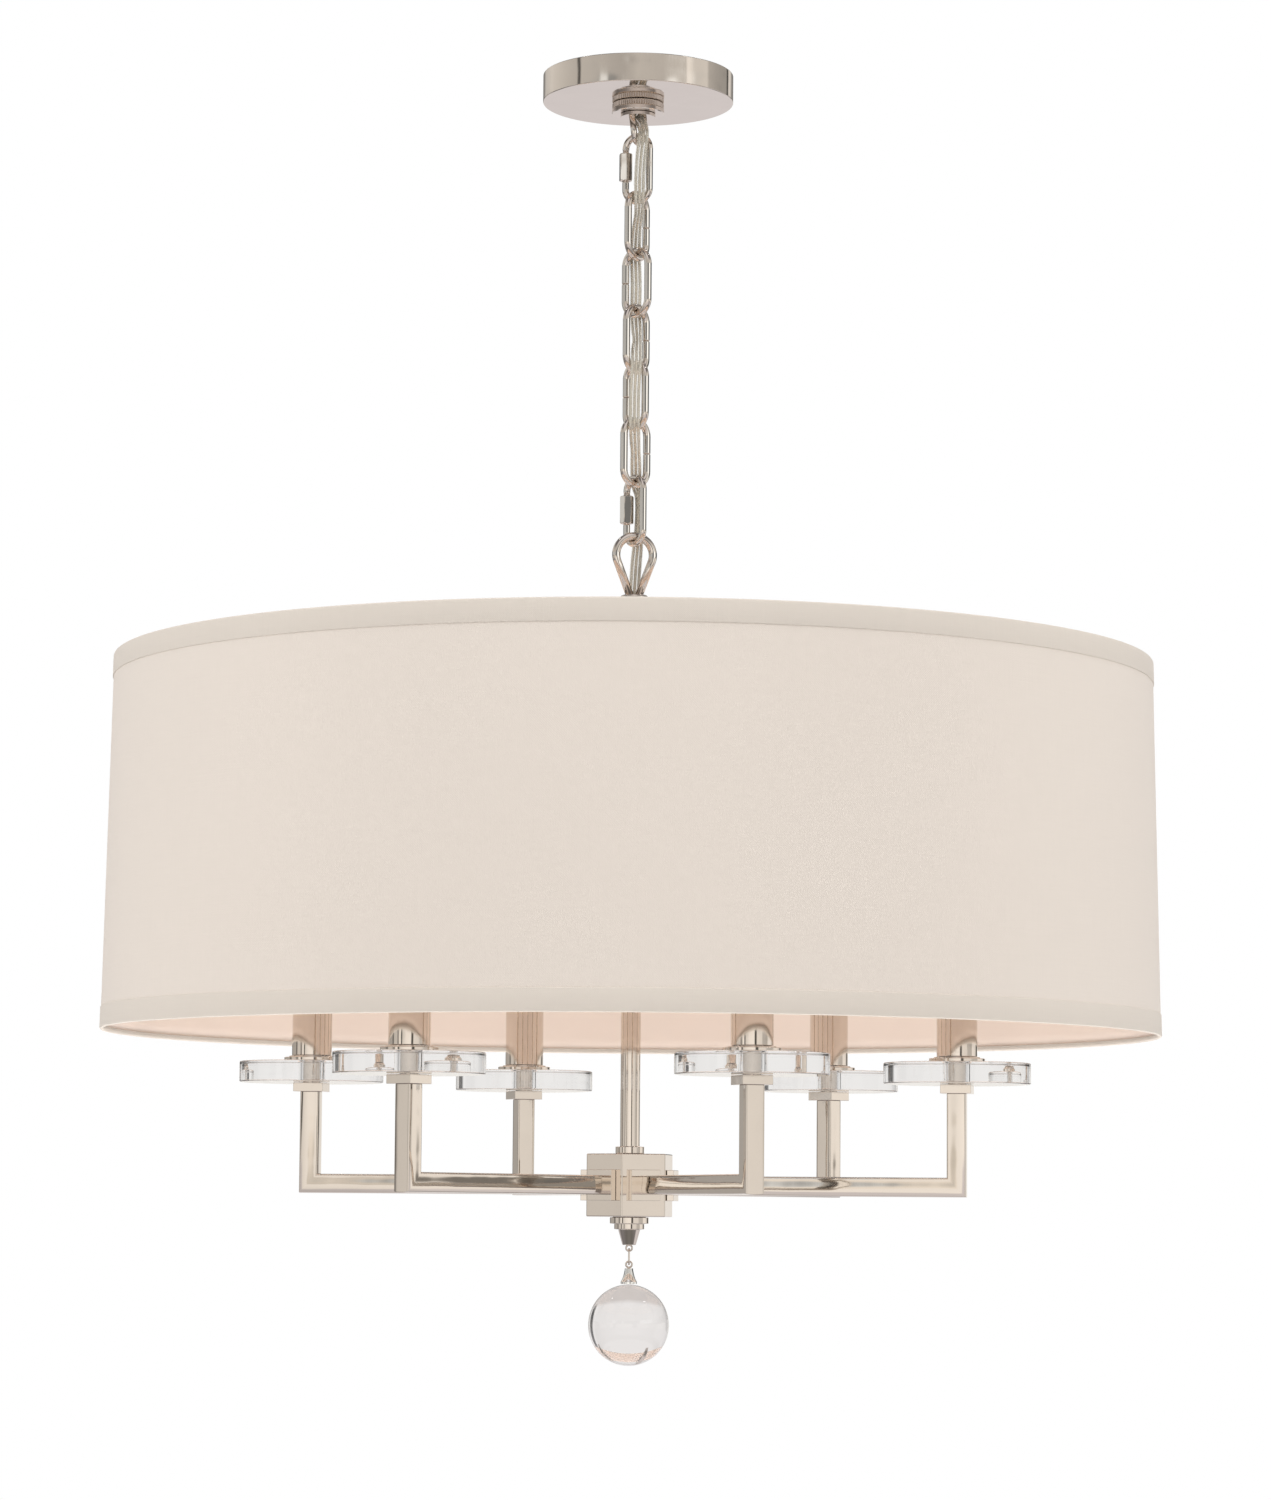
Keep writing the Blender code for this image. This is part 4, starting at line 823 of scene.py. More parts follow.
def power_cord():
    jacket = handled(
        "cord_jacket", JACKET_COLOUR, JACKET_ROUGHNESS, patch=0.004, strength=0.10, streaks=0.08,
        bump=0.000003, sockets={"Alpha": JACKET_COVER},
    )
    tinned = metal("tinned_wire", TINNED, WIRE_ROUGHNESS, patch=0.003, strength=0.2)
    copper = metal("copper_wire", PALE_COPPER, WIRE_ROUGHNESS, patch=0.003, strength=0.2)
    last = len(CORD_BODIES) - 2
    for k, stretch in enumerate(cord_stretches(cord_line())):
        ends = [0] if k == 0 else [-1] if k == last else []
        skin = from_rings(f"cord_jacket_{k + 1}", [jacket_ring(s) for s in stretch], capped=ends)
        pieces = [shown(skin, jacket)]
        for place, wire_metal in ((-1, tinned), (0, copper), (1, tinned)):
            rings = [strand_ring(s, place) for s in stretch]
            bundle = from_rings(f"cord_wire_{k + 1}_{place + 2}", rings, capped=ends)
            pieces.append(shown(bundle, wire_metal))
        for thing in pieces:
            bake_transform(thing)
            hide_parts("power_cord")


power_cord()

# Stem loop: a thick rod bent to a teardrop and welded into a round base. The cord goes in at the
# back of the base through a slanted hole, and the stem is screwed into it from below.
STEM_LOOP_ROD = 0.006
STEM_LOOP_WIDTH = 0.0334
STEM_LOOP_FOOT_HALF_WIDTH = 0.003
STEM_LOOP_AZIMUTH = math.radians(13)
BASE_RADIUS = 0.010
BASE_HEIGHT = 0.014
BASE_EDGE = 0.0015
WIRE_WAY_WIDTH = 0.0104
WIRE_WAY_THICKNESS = 0.0062
WIRE_WAY_BACK = 0.0063
WIRE_WAY_OVERRUN = 0.004
STEM_RADIUS = 0.0071
STEM_BORE = 0.0060
BASE_SOCKET_DEPTH = 0.006
BOW_STEPS = 72
BASE_CORNER_STEPS = 6
WIRE_WAY_SIDES = 32
BASE_SHARP_ANGLE = math.radians(35)


def cut_out(thing, tool_mesh):
    """Cuts a tool's shape out of a piece for good."""
    tool = shown(tool_mesh)
    cut = thing.modifiers.new("cut", "BOOLEAN")
    cut.operation = "DIFFERENCE"
    cut.object = tool
    bpy.context.view_layer.update()
    graph = bpy.context.evaluated_depsgraph_get()
    thing.data = bpy.data.meshes.new_from_object(thing.evaluated_get(graph))
    thing.modifiers.clear()
    bpy.data.objects.remove(tool)


def stem_loop():
    low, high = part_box("stem_loop")
    base_top = low.z + BASE_HEIGHT
    radius = (STEM_LOOP_WIDTH - STEM_LOOP_ROD) / 2
    half_rod = STEM_LOOP_ROD / 2
    path = eye_path(
        radius, high.z - half_rod - radius, STEM_LOOP_FOOT_HALF_WIDTH, base_top - BASE_EDGE / 2, BOW_STEPS
    )
    bow = wire("stem_bow", path, half_rod, STEM_LOOP_AZIMUTH)
    piece(bow, "fixture", "loop_nickel", "stem_loop")
    corner = arc(BASE_EDGE, base_top - BASE_EDGE, math.pi / 2, 0, BASE_CORNER_STEPS)
    outline = [(0, base_top)] + [(BASE_RADIUS - BASE_EDGE + x, z) for x, z in corner]
    outline += [
        (BASE_RADIUS, low.z + BASE_EDGE / 4), (BASE_RADIUS - BASE_EDGE / 4, low.z),
        (STEM_RADIUS, low.z), (STEM_RADIUS, low.z + BASE_SOCKET_DEPTH), (0, low.z + BASE_SOCKET_DEPTH),
    ]
    base = shown(turned("stem_base", outline), polished_nickel)
    fall = Vector((0, -WIRE_WAY_BACK, -BASE_HEIGHT))
    mouth = Vector((0, WIRE_WAY_BACK, base_top))
    wide = Vector((WIRE_WAY_WIDTH / 2, 0, 0))
    deep = fall.normalized().cross(Vector((1, 0, 0))) * WIRE_WAY_THICKNESS / 2
    angles = [math.tau * s / WIRE_WAY_SIDES for s in range(WIRE_WAY_SIDES)]
    rings = []
    for centre in (mouth - fall.normalized() * WIRE_WAY_OVERRUN, mouth + fall):
        rings.append([centre + wide * math.cos(a) + deep * math.sin(a) for a in angles])
    cut_out(base, from_rings("wire_way", rings, capped=BOTH_ENDS))
    base.data.shade_smooth()
    base.data.set_sharp_from_angle(angle=BASE_SHARP_ANGLE)
    settle(base, "fixture", "stem_loop")


stem_loop()

# Stem: a drawn tube with a seat for the shade's spider near its top and a collar where it is
# screwed into the hub, all polished and nickel-plated.
SEAT_RADIUS = 0.011
SEAT_THICKNESS = 0.003
COLLAR_RADIUS = 0.01035
COLLAR_HEIGHT = 0.0049
STEM_EDGE = 0.0004
STEM_GAP = 0.0003


def stem():
    low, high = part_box("stem_tube")
    seat_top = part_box("shade_spider")[0].z
    collar_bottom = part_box("hub_body")[1].z + STEM_GAP
    collar_top = collar_bottom + COLLAR_HEIGHT
    outline = [
        (STEM_BORE, high.z), (STEM_RADIUS, high.z), (STEM_RADIUS, seat_top), (SEAT_RADIUS, seat_top),
        (SEAT_RADIUS, seat_top - SEAT_THICKNESS), (STEM_RADIUS, seat_top - SEAT_THICKNESS),
        (STEM_RADIUS, collar_top), (COLLAR_RADIUS, collar_top), (COLLAR_RADIUS, collar_bottom),
        (STEM_RADIUS, collar_bottom), (STEM_RADIUS, low.z), (STEM_BORE, low.z),
    ]
    piece(turned("stem", outline), "fixture", "stem_nickel", "stem_tube", STEM_EDGE, 3)


stem()

# Shade spider: a ring of white-enamelled wire in the shade's top rim, three straight arms and a
# pressed centre ring on the stem's seat, clamped there by a plated six-sided nut.
ENAMEL = (0.78, 0.765, 0.73)
SPIDER_WIRE = 0.0032
SPIDER_HUB_RADIUS = 0.013
SPIDER_HUB_THICKNESS = 0.003
SPIDER_ARMS = 3
SPIDER_STEPS = 240
SPIDER_WIRE_SIDES = 16
SPIDER_HUB_SIDES = 72
SHADE_NUT_EDGE = 0.0002


def spider():
    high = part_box("shade_spider")[1]
    settled = ("fixture", "spider_steel", "shade_spider")
    enamel = handled("white_enamel", ENAMEL, 0.30, patch=0.01, strength=0.06, streaks=0.05, bump=0.00002)
    half_wire = SPIDER_WIRE / 2
    radius = high.x - half_wire
    height = high.z - half_wire
    around = arc(half_wire, height, 0, math.tau, SPIDER_WIRE_SIDES)[:-1]
    ring = turned("spider_ring", [(x + radius, z) for x, z in around], SPIDER_STEPS)
    piece(ring, *settled, material=enamel)
    hole = STEM_RADIUS + STEM_GAP
    hub_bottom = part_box("shade_nut")[0].z - STEM_GAP - SPIDER_HUB_THICKNESS
    hub_top = hub_bottom + SPIDER_HUB_THICKNESS
    outline = [(hole, hub_top), (SPIDER_HUB_RADIUS, hub_top)]
    outline += [(SPIDER_HUB_RADIUS, hub_bottom), (hole, hub_bottom)]
    piece(turned("spider_hub", outline, SPIDER_HUB_SIDES), *settled, STEM_EDGE, 3, enamel)
    path = [(SPIDER_HUB_RADIUS - STEM_EDGE, hub_bottom + SPIDER_HUB_THICKNESS / 2), (radius, height)]
    for k in range(SPIDER_ARMS):
        azimuth = math.pi / 2 + math.tau * k / SPIDER_ARMS
        piece(wire(f"spider_arm_{k + 1}", path, half_wire, azimuth), *settled, material=enamel)


def shade_nut():
    low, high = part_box("shade_nut")
    hole = STEM_RADIUS + STEM_GAP
    outline = [
        (hole, high.z), (high.y, high.z), (high.y, high.z - NUT_CHAMFER, chamfered(CORNER)),
        (high.y, low.z, chamfered(CORNER)), (hole, low.z),
    ]
    nut = turned("spider_nut", outline, NUT_SIDES)
    piece(nut, "fixture", "nut_nickel", "shade_nut", SHADE_NUT_EDGE)


spider()
shade_nut()

# Drum shade: off-white woven cloth laminated to a stiff plastic liner and rolled into a slightly
# tapered drum, with one glued overlap at the back. A wire ring stiffens each rim, and a folded
# tape of the same cloth covers it, glued down outside and in.
SHADE_BOTTOM = 0.381
SHADE_TOP = 0.376
TRIM_HEIGHT = 0.016
TRIM_PROUD = 0.0006
TRIM_INSIDE_HEIGHT = 0.0038
CLOTH_THICKNESS = 0.0007
LINER_THICKNESS = 0.0007
SHADE_SIDES = 288
SHADE_ROWS = 24
OVERLAP_WIDTH = 0.009
OVERLAP_PROUD = 0.0004
CLOTH_COLOUR = (0.790, 0.708, 0.632)
TRIM_COLOUR = (0.724, 0.652, 0.576)
# The liner's peach colour is lightened past its own tone: painted light standing in for light through the
# cloth
LINER_COLOUR_WITH_PAINTED_LIGHT = (0.920, 0.765, 0.660)
THREADS_PER_METRE = 1250
TRIM_THREADS_PER_METRE = 1500
CLOTH_WAVE = 0.00012
# The waves round the drum: how many, where they start and how large
HAND_WAVES = [(3, 0.7, 1.0), (7, 2.1, 0.6), (17, 0.0, 0.4)]
CLOTH_ROUGHNESS = 0.85
CLOTH_RELIEF = 0.00006
FOLD_STEPS = 8
OVERLAP_SHARP_ANGLE = math.radians(40)
# How the drawn-out noise of warp and weft is stretched, and what the weave adds to it
WARP_STRETCH = (900.0, 26.0, 1.0)
WEFT_STRETCH = (26.0, 900.0, 1.0)
WEAVE_TONE = 0.30
WEAVE_RELIEF = 0.5
CLOUD_SCALE = 5.0
NOISE_MIDDLE = 1.5


def plain_weave():
    """Warp and weft of a fine cloth on an upright drum, with thicker slubs here and there."""
    tree, given = group("plain_weave", ["Radius", "Threads", "Contrast"])
    where = add(tree, "ShaderNodeTexCoord").outputs["Object"]
    parts = add(tree, "ShaderNodeSeparateXYZ", {"Vector": where}).outputs
    around = maths(tree, "MULTIPLY", maths(tree, "ARCTAN2", parts["Y"], parts["X"]), given["Radius"])
    flat = add(tree, "ShaderNodeCombineXYZ", {"X": around, "Y": parts["Z"]}).outputs["Vector"]
    grid = add(tree, "ShaderNodeVectorMath", {0: flat, "Scale": given["Threads"]}, operation="SCALE")
    fine = add(tree, "ShaderNodeSeparateXYZ", {"Vector": grid.outputs["Vector"]}).outputs
    waves = [maths(tree, "SINE", maths(tree, "MULTIPLY", fine[axis], math.pi)) for axis in ("X", "Y")]
    crossing = maths(tree, "MULTIPLY", *waves)
    threads = [stretched_noise(tree, flat, stretch) for stretch in (WARP_STRETCH, WEFT_STRETCH)]
    slubs = maths(tree, "ADD", *threads)
    woven = maths(tree, "MULTIPLY_ADD", crossing, WEAVE_TONE, slubs)
    total = maths(tree, "ADD", woven, noise(tree, flat, CLOUD_SCALE, 2.0))
    amount = maths(tree, "MULTIPLY", maths(tree, "SUBTRACT", total, NOISE_MIDDLE), given["Contrast"])
    add(tree, "NodeGroupOutput", {
        "Colour": shaded(tree, given["Colour"], amount), "Roughness": given["Roughness"],
        "Height": maths(tree, "MULTIPLY_ADD", crossing, WEAVE_RELIEF, slubs),
    })
    return tree


WOVEN = plain_weave()


def cloth(name, colour, threads, contrast):
    values = {"Radius": SHADE_BOTTOM, "Threads": threads, "Contrast": contrast}
    sheen = {"Sheen Weight": 0.12, "Sheen Roughness": 0.5}
    return finish(name, colour, CLOTH_ROUGHNESS, WOVEN, values, CLOTH_RELIEF, sheen)


def drum_radius(height):
    """The radius of the trims' outside at a height."""
    low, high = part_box("shade_drum")
    return SHADE_BOTTOM + (SHADE_TOP - SHADE_BOTTOM) * (height - low.z) / (high.z - low.z)


def hand_laid(angle):
    """The slight unevenness of a drum rolled by hand."""
    wave = sum(size * math.sin(count * angle + phase) for count, phase, size in HAND_WAVES)
    return 1 - CLOTH_WAVE / SHADE_BOTTOM * (1 + wave / 2)


def drum_band(name, low, high, outer_inset, thickness, rows, material):
    """A thin wall of the drum between two heights, set in from the trims' outside."""
    heights = [low + (high - low) * k / rows for k in range(rows + 1)]
    outer = [(drum_radius(h) - outer_inset, h, hand_laid) for h in reversed(heights)]
    inner = [(drum_radius(h) - outer_inset - thickness, h, hand_laid) for h in heights]
    return piece(
        turned(name, outer + inner, SHADE_SIDES), "fixture", "shade_cloth", "shade_drum", material=material
    )


def trim(name, rim, inward, material):
    """The folded tape: down the outside, round the wired rim and a little way up the liner."""
    wall = TRIM_PROUD + CLOTH_THICKNESS + LINER_THICKNESS
    half = wall / 2 + TRIM_PROUD / 2
    edge = rim + inward * TRIM_HEIGHT
    inside = rim + inward * TRIM_INSIDE_HEIGHT
    start = drum_radius(edge)
    centre = drum_radius(rim) - half
    turn_height = rim + inward * half
    points = [
        (start - TRIM_PROUD, edge), (start - TRIM_PROUD / 3, edge), (start, edge - inward * TRIM_PROUD),
    ]
    for k in range(FOLD_STEPS + 1):
        angle = math.pi * k / FOLD_STEPS
        points.append((centre + half * math.cos(angle), turn_height - inward * half * math.sin(angle)))
    points += [
        (drum_radius(inside) - wall - TRIM_PROUD, inside), (drum_radius(inside) - wall, inside),
        (drum_radius(rim) - wall, turn_height), (drum_radius(rim) - TRIM_PROUD, turn_height),
    ]
    folded = turned(name, [(*point, hand_laid) for point in points], SHADE_SIDES)
    tape = piece(folded, "fixture", "shade_cloth", "shade_drum", material=material)


def overlap(low, high, material):
    """The glued lap of the cloth at the back, between the trims."""
    half_angle = OVERLAP_WIDTH / 2 / SHADE_BOTTOM
    rings = []
    for k in range(SHADE_ROWS + 1):
        height = low + TRIM_HEIGHT + (high - low - 2 * TRIM_HEIGHT) * k / SHADE_ROWS
        radius = drum_radius(height) - TRIM_PROUD
        ring = []
        for share, proud in ((-1, 0), (-1, 1), (0, 1), (1, 1), (1, 0), (0, 0)):
            angle = math.pi / 2 + half_angle * share
            reach = (radius + proud * OVERLAP_PROUD) * hand_laid(angle)
            ring.append((reach * math.cos(angle), reach * math.sin(angle), height))
        rings.append(ring)
    lap = shown(from_rings("shade_overlap", rings, capped=BOTH_ENDS), material)
    lap.data.set_sharp_from_angle(angle=OVERLAP_SHARP_ANGLE)
    return settle(lap, "fixture", "shade_drum")


def drum_shade():
    low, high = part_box("shade_drum")
    cover = cloth("shade_cloth", CLOTH_COLOUR, THREADS_PER_METRE, 0.030)
    tape = cloth("trim_tape", TRIM_COLOUR, TRIM_THREADS_PER_METRE, 0.035)
    # The liner's colour carries painted light, as if lit through the cloth in front of it
    liner = handled("shade_liner", LINER_COLOUR_WITH_PAINTED_LIGHT, 0.42, patch=0.05, strength=0.05, streaks=0.03, bump=0.00001)
    foot, head = low.z + TRIM_PROUD, high.z - TRIM_PROUD
    drum = drum_band("shade_cover", foot, head, TRIM_PROUD, CLOTH_THICKNESS, SHADE_ROWS, cover)
    inset = TRIM_PROUD + CLOTH_THICKNESS
    lining = drum_band("shade_lining", foot, head, inset, LINER_THICKNESS, SHADE_ROWS, liner)
    trim("shade_trim_top", high.z, -1, tape)
    trim("shade_trim_bottom", low.z, 1, tape)
    lap = overlap(low.z, high.z, cover)


drum_shade()

# Hub: a six-sided block cast and machined in brass, its edges just broken, then polished and
# nickel-plated. The stem is screwed into its top and the arms are bolted to its sides.
ARM_COUNT = 6
FIRST_ARM_AZIMUTH = math.radians(-9.7)
HUB_EDGE = 0.0008
HUB_BORE = 0.012
HUB_SIDES = 72


def hub_flats():
    """Half the hub's width across its flats, from its solid."""
    reach = max(v.co.to_2d().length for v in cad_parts["hub_body"].data.vertices)
    return reach / CORNER


def hub():
    low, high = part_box("hub_body")
    flats = hub_flats()
    outline = [(STEM_RADIUS + STEM_GAP, high.z), (flats, high.z, hexagon)]
    outline += [(flats, low.z, hexagon), (HUB_BORE, low.z)]
    place = Matrix.Rotation(FIRST_ARM_AZIMUTH + math.pi / ARM_COUNT, 4, "Z")
    block = turned("hub_block", outline, HUB_SIDES)
    piece(block, "fixture", "hub_nickel", "hub_body", HUB_EDGE, 3, place=place)


hub()

# Arms: square tube mitred and welded at the corner, with a square flange screwed to the hub and
# a square cup on the post. A plain round spigot and a threaded nipple stand on each cup.
ARM_REACH = 0.236
ARM_TUBE = 0.014
ARM_TUBE_EDGE = 0.0009
ARM_CROWN = 0.00028
# How much lower than the middle the upright faces are fullest
ARM_CROWN_SKEW = 1.2
ARM_RISE = 0.0665
FLANGE_SIDE = 0.022
FLANGE_THICKNESS = 0.005
CUP_SIDE = 0.022
CUP_HEIGHT = 0.0064
PLATE_EDGE = 0.0008
DISC_THICKNESS = 0.015
SPIGOT_RADIUS = 0.0062
NIPPLE_RADIUS = 0.00475
NIPPLE_BORE = 0.0035
CORNER_STEPS = 4
FACE_STEPS = 12
SPIGOT_SIDES = 48


def polished_square(side, edge, crown):
    """Points round a square tube, its faces left a little full by the polishing wheel."""
    half = side / 2 - edge - crown
    points = []
    for corner, skew in enumerate((0, -ARM_CROWN_SKEW, 0, ARM_CROWN_SKEW)):
        turn = Matrix.Rotation(math.pi / 2 * corner, 2)
        for k in range(CORNER_STEPS + 1):
            angle = math.pi / 2 * k / CORNER_STEPS
            points.append(turn @ Vector((half + edge * math.cos(angle), half + edge * math.sin(angle))))
        for k in range(1, FACE_STEPS):
            along = 1 - 2 * k / FACE_STEPS
            full = (1 - along ** 2) * (1 + skew * along)
            points.append(turn @ Vector((half * along, side / 2 - crown * (1 - full))))
    return points


def joined(name, meshes, material):
    """One mesh of several separate bodies."""
    bm = bmesh.new()
    for mesh in meshes:
        bm.from_mesh(mesh)
    made = bpy.data.meshes.new(name)
    bm.to_mesh(made)
    bm.free()
    made.shade_smooth()
    made.materials.append(material)
    return made


def square_plate(name, low, high, side, along):
    """A square plate between two places along X or Z."""
    rings = []
    for level in (low, high):
        corners = [(a * side / 2, b * side / 2) for a, b in ((1, 1), (-1, 1), (-1, -1), (1, -1))]
        if along == "X":
            rings.append([(level, a, b) for a, b in corners])
        else:
            rings.append([(ARM_REACH + a, b, level) for a, b in corners])
    return from_rings(name, rings, capped=BOTH_ENDS)


def arm_mesh():
    section = polished_square(ARM_TUBE, ARM_TUBE_EDGE, ARM_CROWN)
    start = hub_flats() + STEM_GAP
    level = [(start, a, b) for a, b in section]
    mitre = [(ARM_REACH - b, a, b) for a, b in section]
    top = [(ARM_REACH - b, a, ARM_RISE) for a, b in section]
    elbow = from_rings("elbow", [level, mitre, top], capped=BOTH_ENDS)
    flange = square_plate("flange", start, start + FLANGE_THICKNESS, FLANGE_SIDE, "X")
    cup_top = ARM_RISE + CUP_HEIGHT
    cup = square_plate("cup", ARM_RISE, cup_top, CUP_SIDE, "Z")
    shoulder = cup_top + STEM_GAP + DISC_THICKNESS
    tip = max(v.co.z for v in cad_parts["arm_1"].data.vertices) - hub_middle()
    foot = cup_top - PLATE_EDGE
    outline = [(NIPPLE_BORE, tip)] + thread(NIPPLE_RADIUS, tip, shoulder)
    outline += [(SPIGOT_RADIUS, shoulder), (SPIGOT_RADIUS, foot), (NIPPLE_BORE, foot)]
    spigot = turned("spigot", outline, SPIGOT_SIDES)
    spigot.transform(Matrix.Translation((ARM_REACH, 0, 0)))
    return joined("arm", [elbow, flange, cup, spigot], polished_nickel)


def hub_middle():
    low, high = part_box("hub_body")
    return (low.z + high.z) / 2


def post_places(height):
    """Where the six posts stand, at a height, each turned like its arm."""
    places = []
    for k in range(ARM_COUNT):
        azimuth = FIRST_ARM_AZIMUTH + math.tau * k / ARM_COUNT
        post = Vector((ARM_REACH * math.cos(azimuth), ARM_REACH * math.sin(azimuth), height))
        places.append(Matrix.Translation(post) @ Matrix.Rotation(azimuth, 4, "Z"))
    return places


def six(mesh, slot, node, height, edge=0, segments=2, material=polished_nickel):
    """Six copies of a piece, one on each post, standing for the six solids of that name."""
    for k, place in enumerate(post_places(height), 1):
        name = f"{mesh.name}_{k}"
        piece(mesh, "fixture", slot, f"{node}_{k}", edge, segments, material, place, name)


def arms():
    mesh = arm_mesh()
    for k in range(ARM_COUNT):
        azimuth = FIRST_ARM_AZIMUTH + math.tau * k / ARM_COUNT
        place = Matrix.Translation((0, 0, hub_middle())) @ Matrix.Rotation(azimuth, 4, "Z")
        node, name = f"arm_{k + 1}", f"arm_tube_{k + 1}"
        piece(mesh, "fixture", "arm_nickel", node, PLATE_EDGE, 3, place=place, name=name)


arms()

# Glass discs: thick clear glass with a flat polished rim and narrow bevels, drilled through the
# middle and threaded on the spigot between the cup and the candle plate.
DISC_BEVEL = 0.0009
DISC_HOLE_CLEARANCE = 0.0006
DISC_TINT = (0.990, 0.988, 0.985)
GLASS_IOR = 1.50
DISC_SIDES = 144


def clear_glass(name, tint):
    sockets = {"Transmission Weight": 1.0, "IOR": GLASS_IOR}
    return handled(
        name, tint, 0.0, patch=0.02, strength=0.01, streaks=0.004, bump=0.0000004, sockets=sockets
    )


def glass_disc():
    low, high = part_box("glass_disc_2")
    radius = (high.x - low.x) / 2
    hole = SPIGOT_RADIUS + DISC_HOLE_CLEARANCE
    outline = [(hole, DISC_THICKNESS), (radius, DISC_THICKNESS), (radius, 0), (hole, 0)]
    glass = clear_glass("disc_glass", DISC_TINT)
    six(turned("clear_disc", outline, DISC_SIDES), "disc_glass", "glass_disc", low.z, DISC_BEVEL, 2, glass)


glass_disc()

# Candle plates: thin turned plates with a raised middle, screwed down on the nipple to hold the
# disc, polished and nickel-plated.
PLATE_RADIUS = 0.020
PLATE_THICKNESS = 0.003
PLATE_STEP_RADIUS = 0.0165
PLATE_STEP_HEIGHT = 0.001
PLATE_ROUNDING = 0.0004


def candle_plate():
    hole = NIPPLE_RADIUS + STEM_GAP
    step_top = PLATE_THICKNESS + PLATE_STEP_HEIGHT
    outline = [
        (hole, step_top), (PLATE_STEP_RADIUS, step_top), (PLATE_STEP_RADIUS, PLATE_THICKNESS),
        (PLATE_RADIUS, PLATE_THICKNESS), (PLATE_RADIUS, 0), (hole, 0),
    ]
    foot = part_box("candle_plate_1")[0].z
    six(turned("round_plate", outline), "plate_nickel", "candle_plate", foot, PLATE_ROUNDING, 3)


candle_plate()

# Candle sleeves: plain polished tubes slipped over the sockets, open at the top. They show the
# liner's colour above and the white room below.
SLEEVE_RADIUS = 0.0145
SLEEVE_WALL = 0.001
SLEEVE_EDGE = 0.0003


def candle_sleeve():
    low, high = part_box("candle_sleeve_1")
    length = high.z - low.z
    inner = SLEEVE_RADIUS - SLEEVE_WALL
    outline = [(inner, length), (SLEEVE_RADIUS, length), (SLEEVE_RADIUS, 0), (inner, 0)]
    six(turned("sleeve", outline), "sleeve_nickel", "candle_sleeve", low.z, SLEEVE_EDGE)


candle_sleeve()

# Lamp sockets: moulded phenolic bodies on a narrower threaded foot, each lined with a thin brass
# screw shell that the bulb's cap turns into.
PHENOLIC = (0.80, 0.77, 0.70)
BRASS = (0.83, 0.66, 0.36)
SOCKET_RADIUS = 0.010
SOCKET_FOOT_RADIUS = 0.0075
SOCKET_FOOT_LENGTH = 0.048
SOCKET_MOUTH = 0.0064
SOCKET_MOUTH_DEPTH = 0.024
SOCKET_LIP = 0.0008
SHELL_WALL = 0.0003
SOCKET_SIDES = 64
SHELL_SIDES = 48


def lamp_socket():
    low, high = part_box("lamp_socket_1")
    top = high.z - low.z
    hole = NIPPLE_RADIUS + STEM_GAP
    floor = top - SOCKET_MOUTH_DEPTH
    shell_radius = SOCKET_MOUTH + SHELL_WALL
    outline = [
        (hole, 0), (SOCKET_FOOT_RADIUS, 0), (SOCKET_FOOT_RADIUS, SOCKET_FOOT_LENGTH),
        (SOCKET_RADIUS, SOCKET_FOOT_LENGTH), (SOCKET_RADIUS, top - 3 * SOCKET_LIP),
        (SOCKET_RADIUS - SOCKET_LIP, top - 2 * SOCKET_LIP), (SOCKET_RADIUS - SOCKET_LIP, top),
        (shell_radius, top), (shell_radius, floor), (hole, floor),
    ]
    moulded = handled("phenolic", PHENOLIC, 0.42, patch=0.002, strength=0.12, streaks=0.05, bump=0.00003)
    socket = turned("socket_body", outline, SOCKET_SIDES)
    six(socket, "socket_phenolic", "lamp_socket", low.z, SLEEVE_EDGE, 2, moulded)
    shell = [(shell_radius, top - SOCKET_LIP)] + thread(shell_radius, top - SOCKET_LIP, floor)
    shell.append((shell_radius + THREAD_DEPTH / 4, floor))
    brass = metal("screw_brass", BRASS, 0.22, patch=0.004, strength=0.2, streaks=0.1)
    lining = turned("socket_shell", shell, SHELL_SIDES)
    six(lining, "socket_phenolic", "lamp_socket", low.z, material=brass)


lamp_socket()

# Bulbs: candelabra lamps with a torpedo of inside-frosted glass, drawn out of round towards its
# tip and cemented into a brass screw cap. They stand inside the shade.
FROSTED = (0.90, 0.885, 0.85)
BULB_RADIUS = 0.0175
BULB_LENGTH = 0.078
CAP_RADIUS = 0.00595
CAP_FOOT = 0.0008
CAP_THREAD_FOOT = 0.003
BULB_SIDES = 48
CAP_SIDES = 40
# The torpedo's outline as shares of its radius and length, from its foot to its tip
BULB_SHARES = [
    (0.47, 0.00), (0.55, 0.05), (0.72, 0.12), (0.88, 0.22), (0.97, 0.32), (1.00, 0.42), (0.98, 0.52),
    (0.91, 0.62), (0.79, 0.71), (0.63, 0.80), (0.46, 0.88), (0.32, 0.94), (0.18, 0.98), (0.00, 1.00),
]


def bulb():
    low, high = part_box("bulb_1")
    glass_foot = high.z - low.z - BULB_LENGTH
    outline = [(0, glass_foot)] + [(BULB_RADIUS * r, glass_foot + BULB_LENGTH * s) for r, s in BULB_SHARES]
    frosted = handled(
        "frosted_glass", FROSTED, 0.32, patch=0.01, strength=0.04, streaks=0.04, bump=0.00001,
        sockets={"Transmission Weight": 0.35, "IOR": 1.45},
    )
    six(turned("bulb_glass", outline, BULB_SIDES), "bulb_glass", "bulb", low.z, material=frosted)
    cap = [(0, glass_foot)] + thread(CAP_RADIUS, glass_foot, CAP_THREAD_FOOT)
    cap += [(CAP_RADIUS / 2, CAP_FOOT), (0, 0)]
    brass = bpy.data.materials["screw_brass"]
    six(turned("bulb_cap", cap, CAP_SIDES), "bulb_glass", "bulb", low.z, material=brass)


bulb()

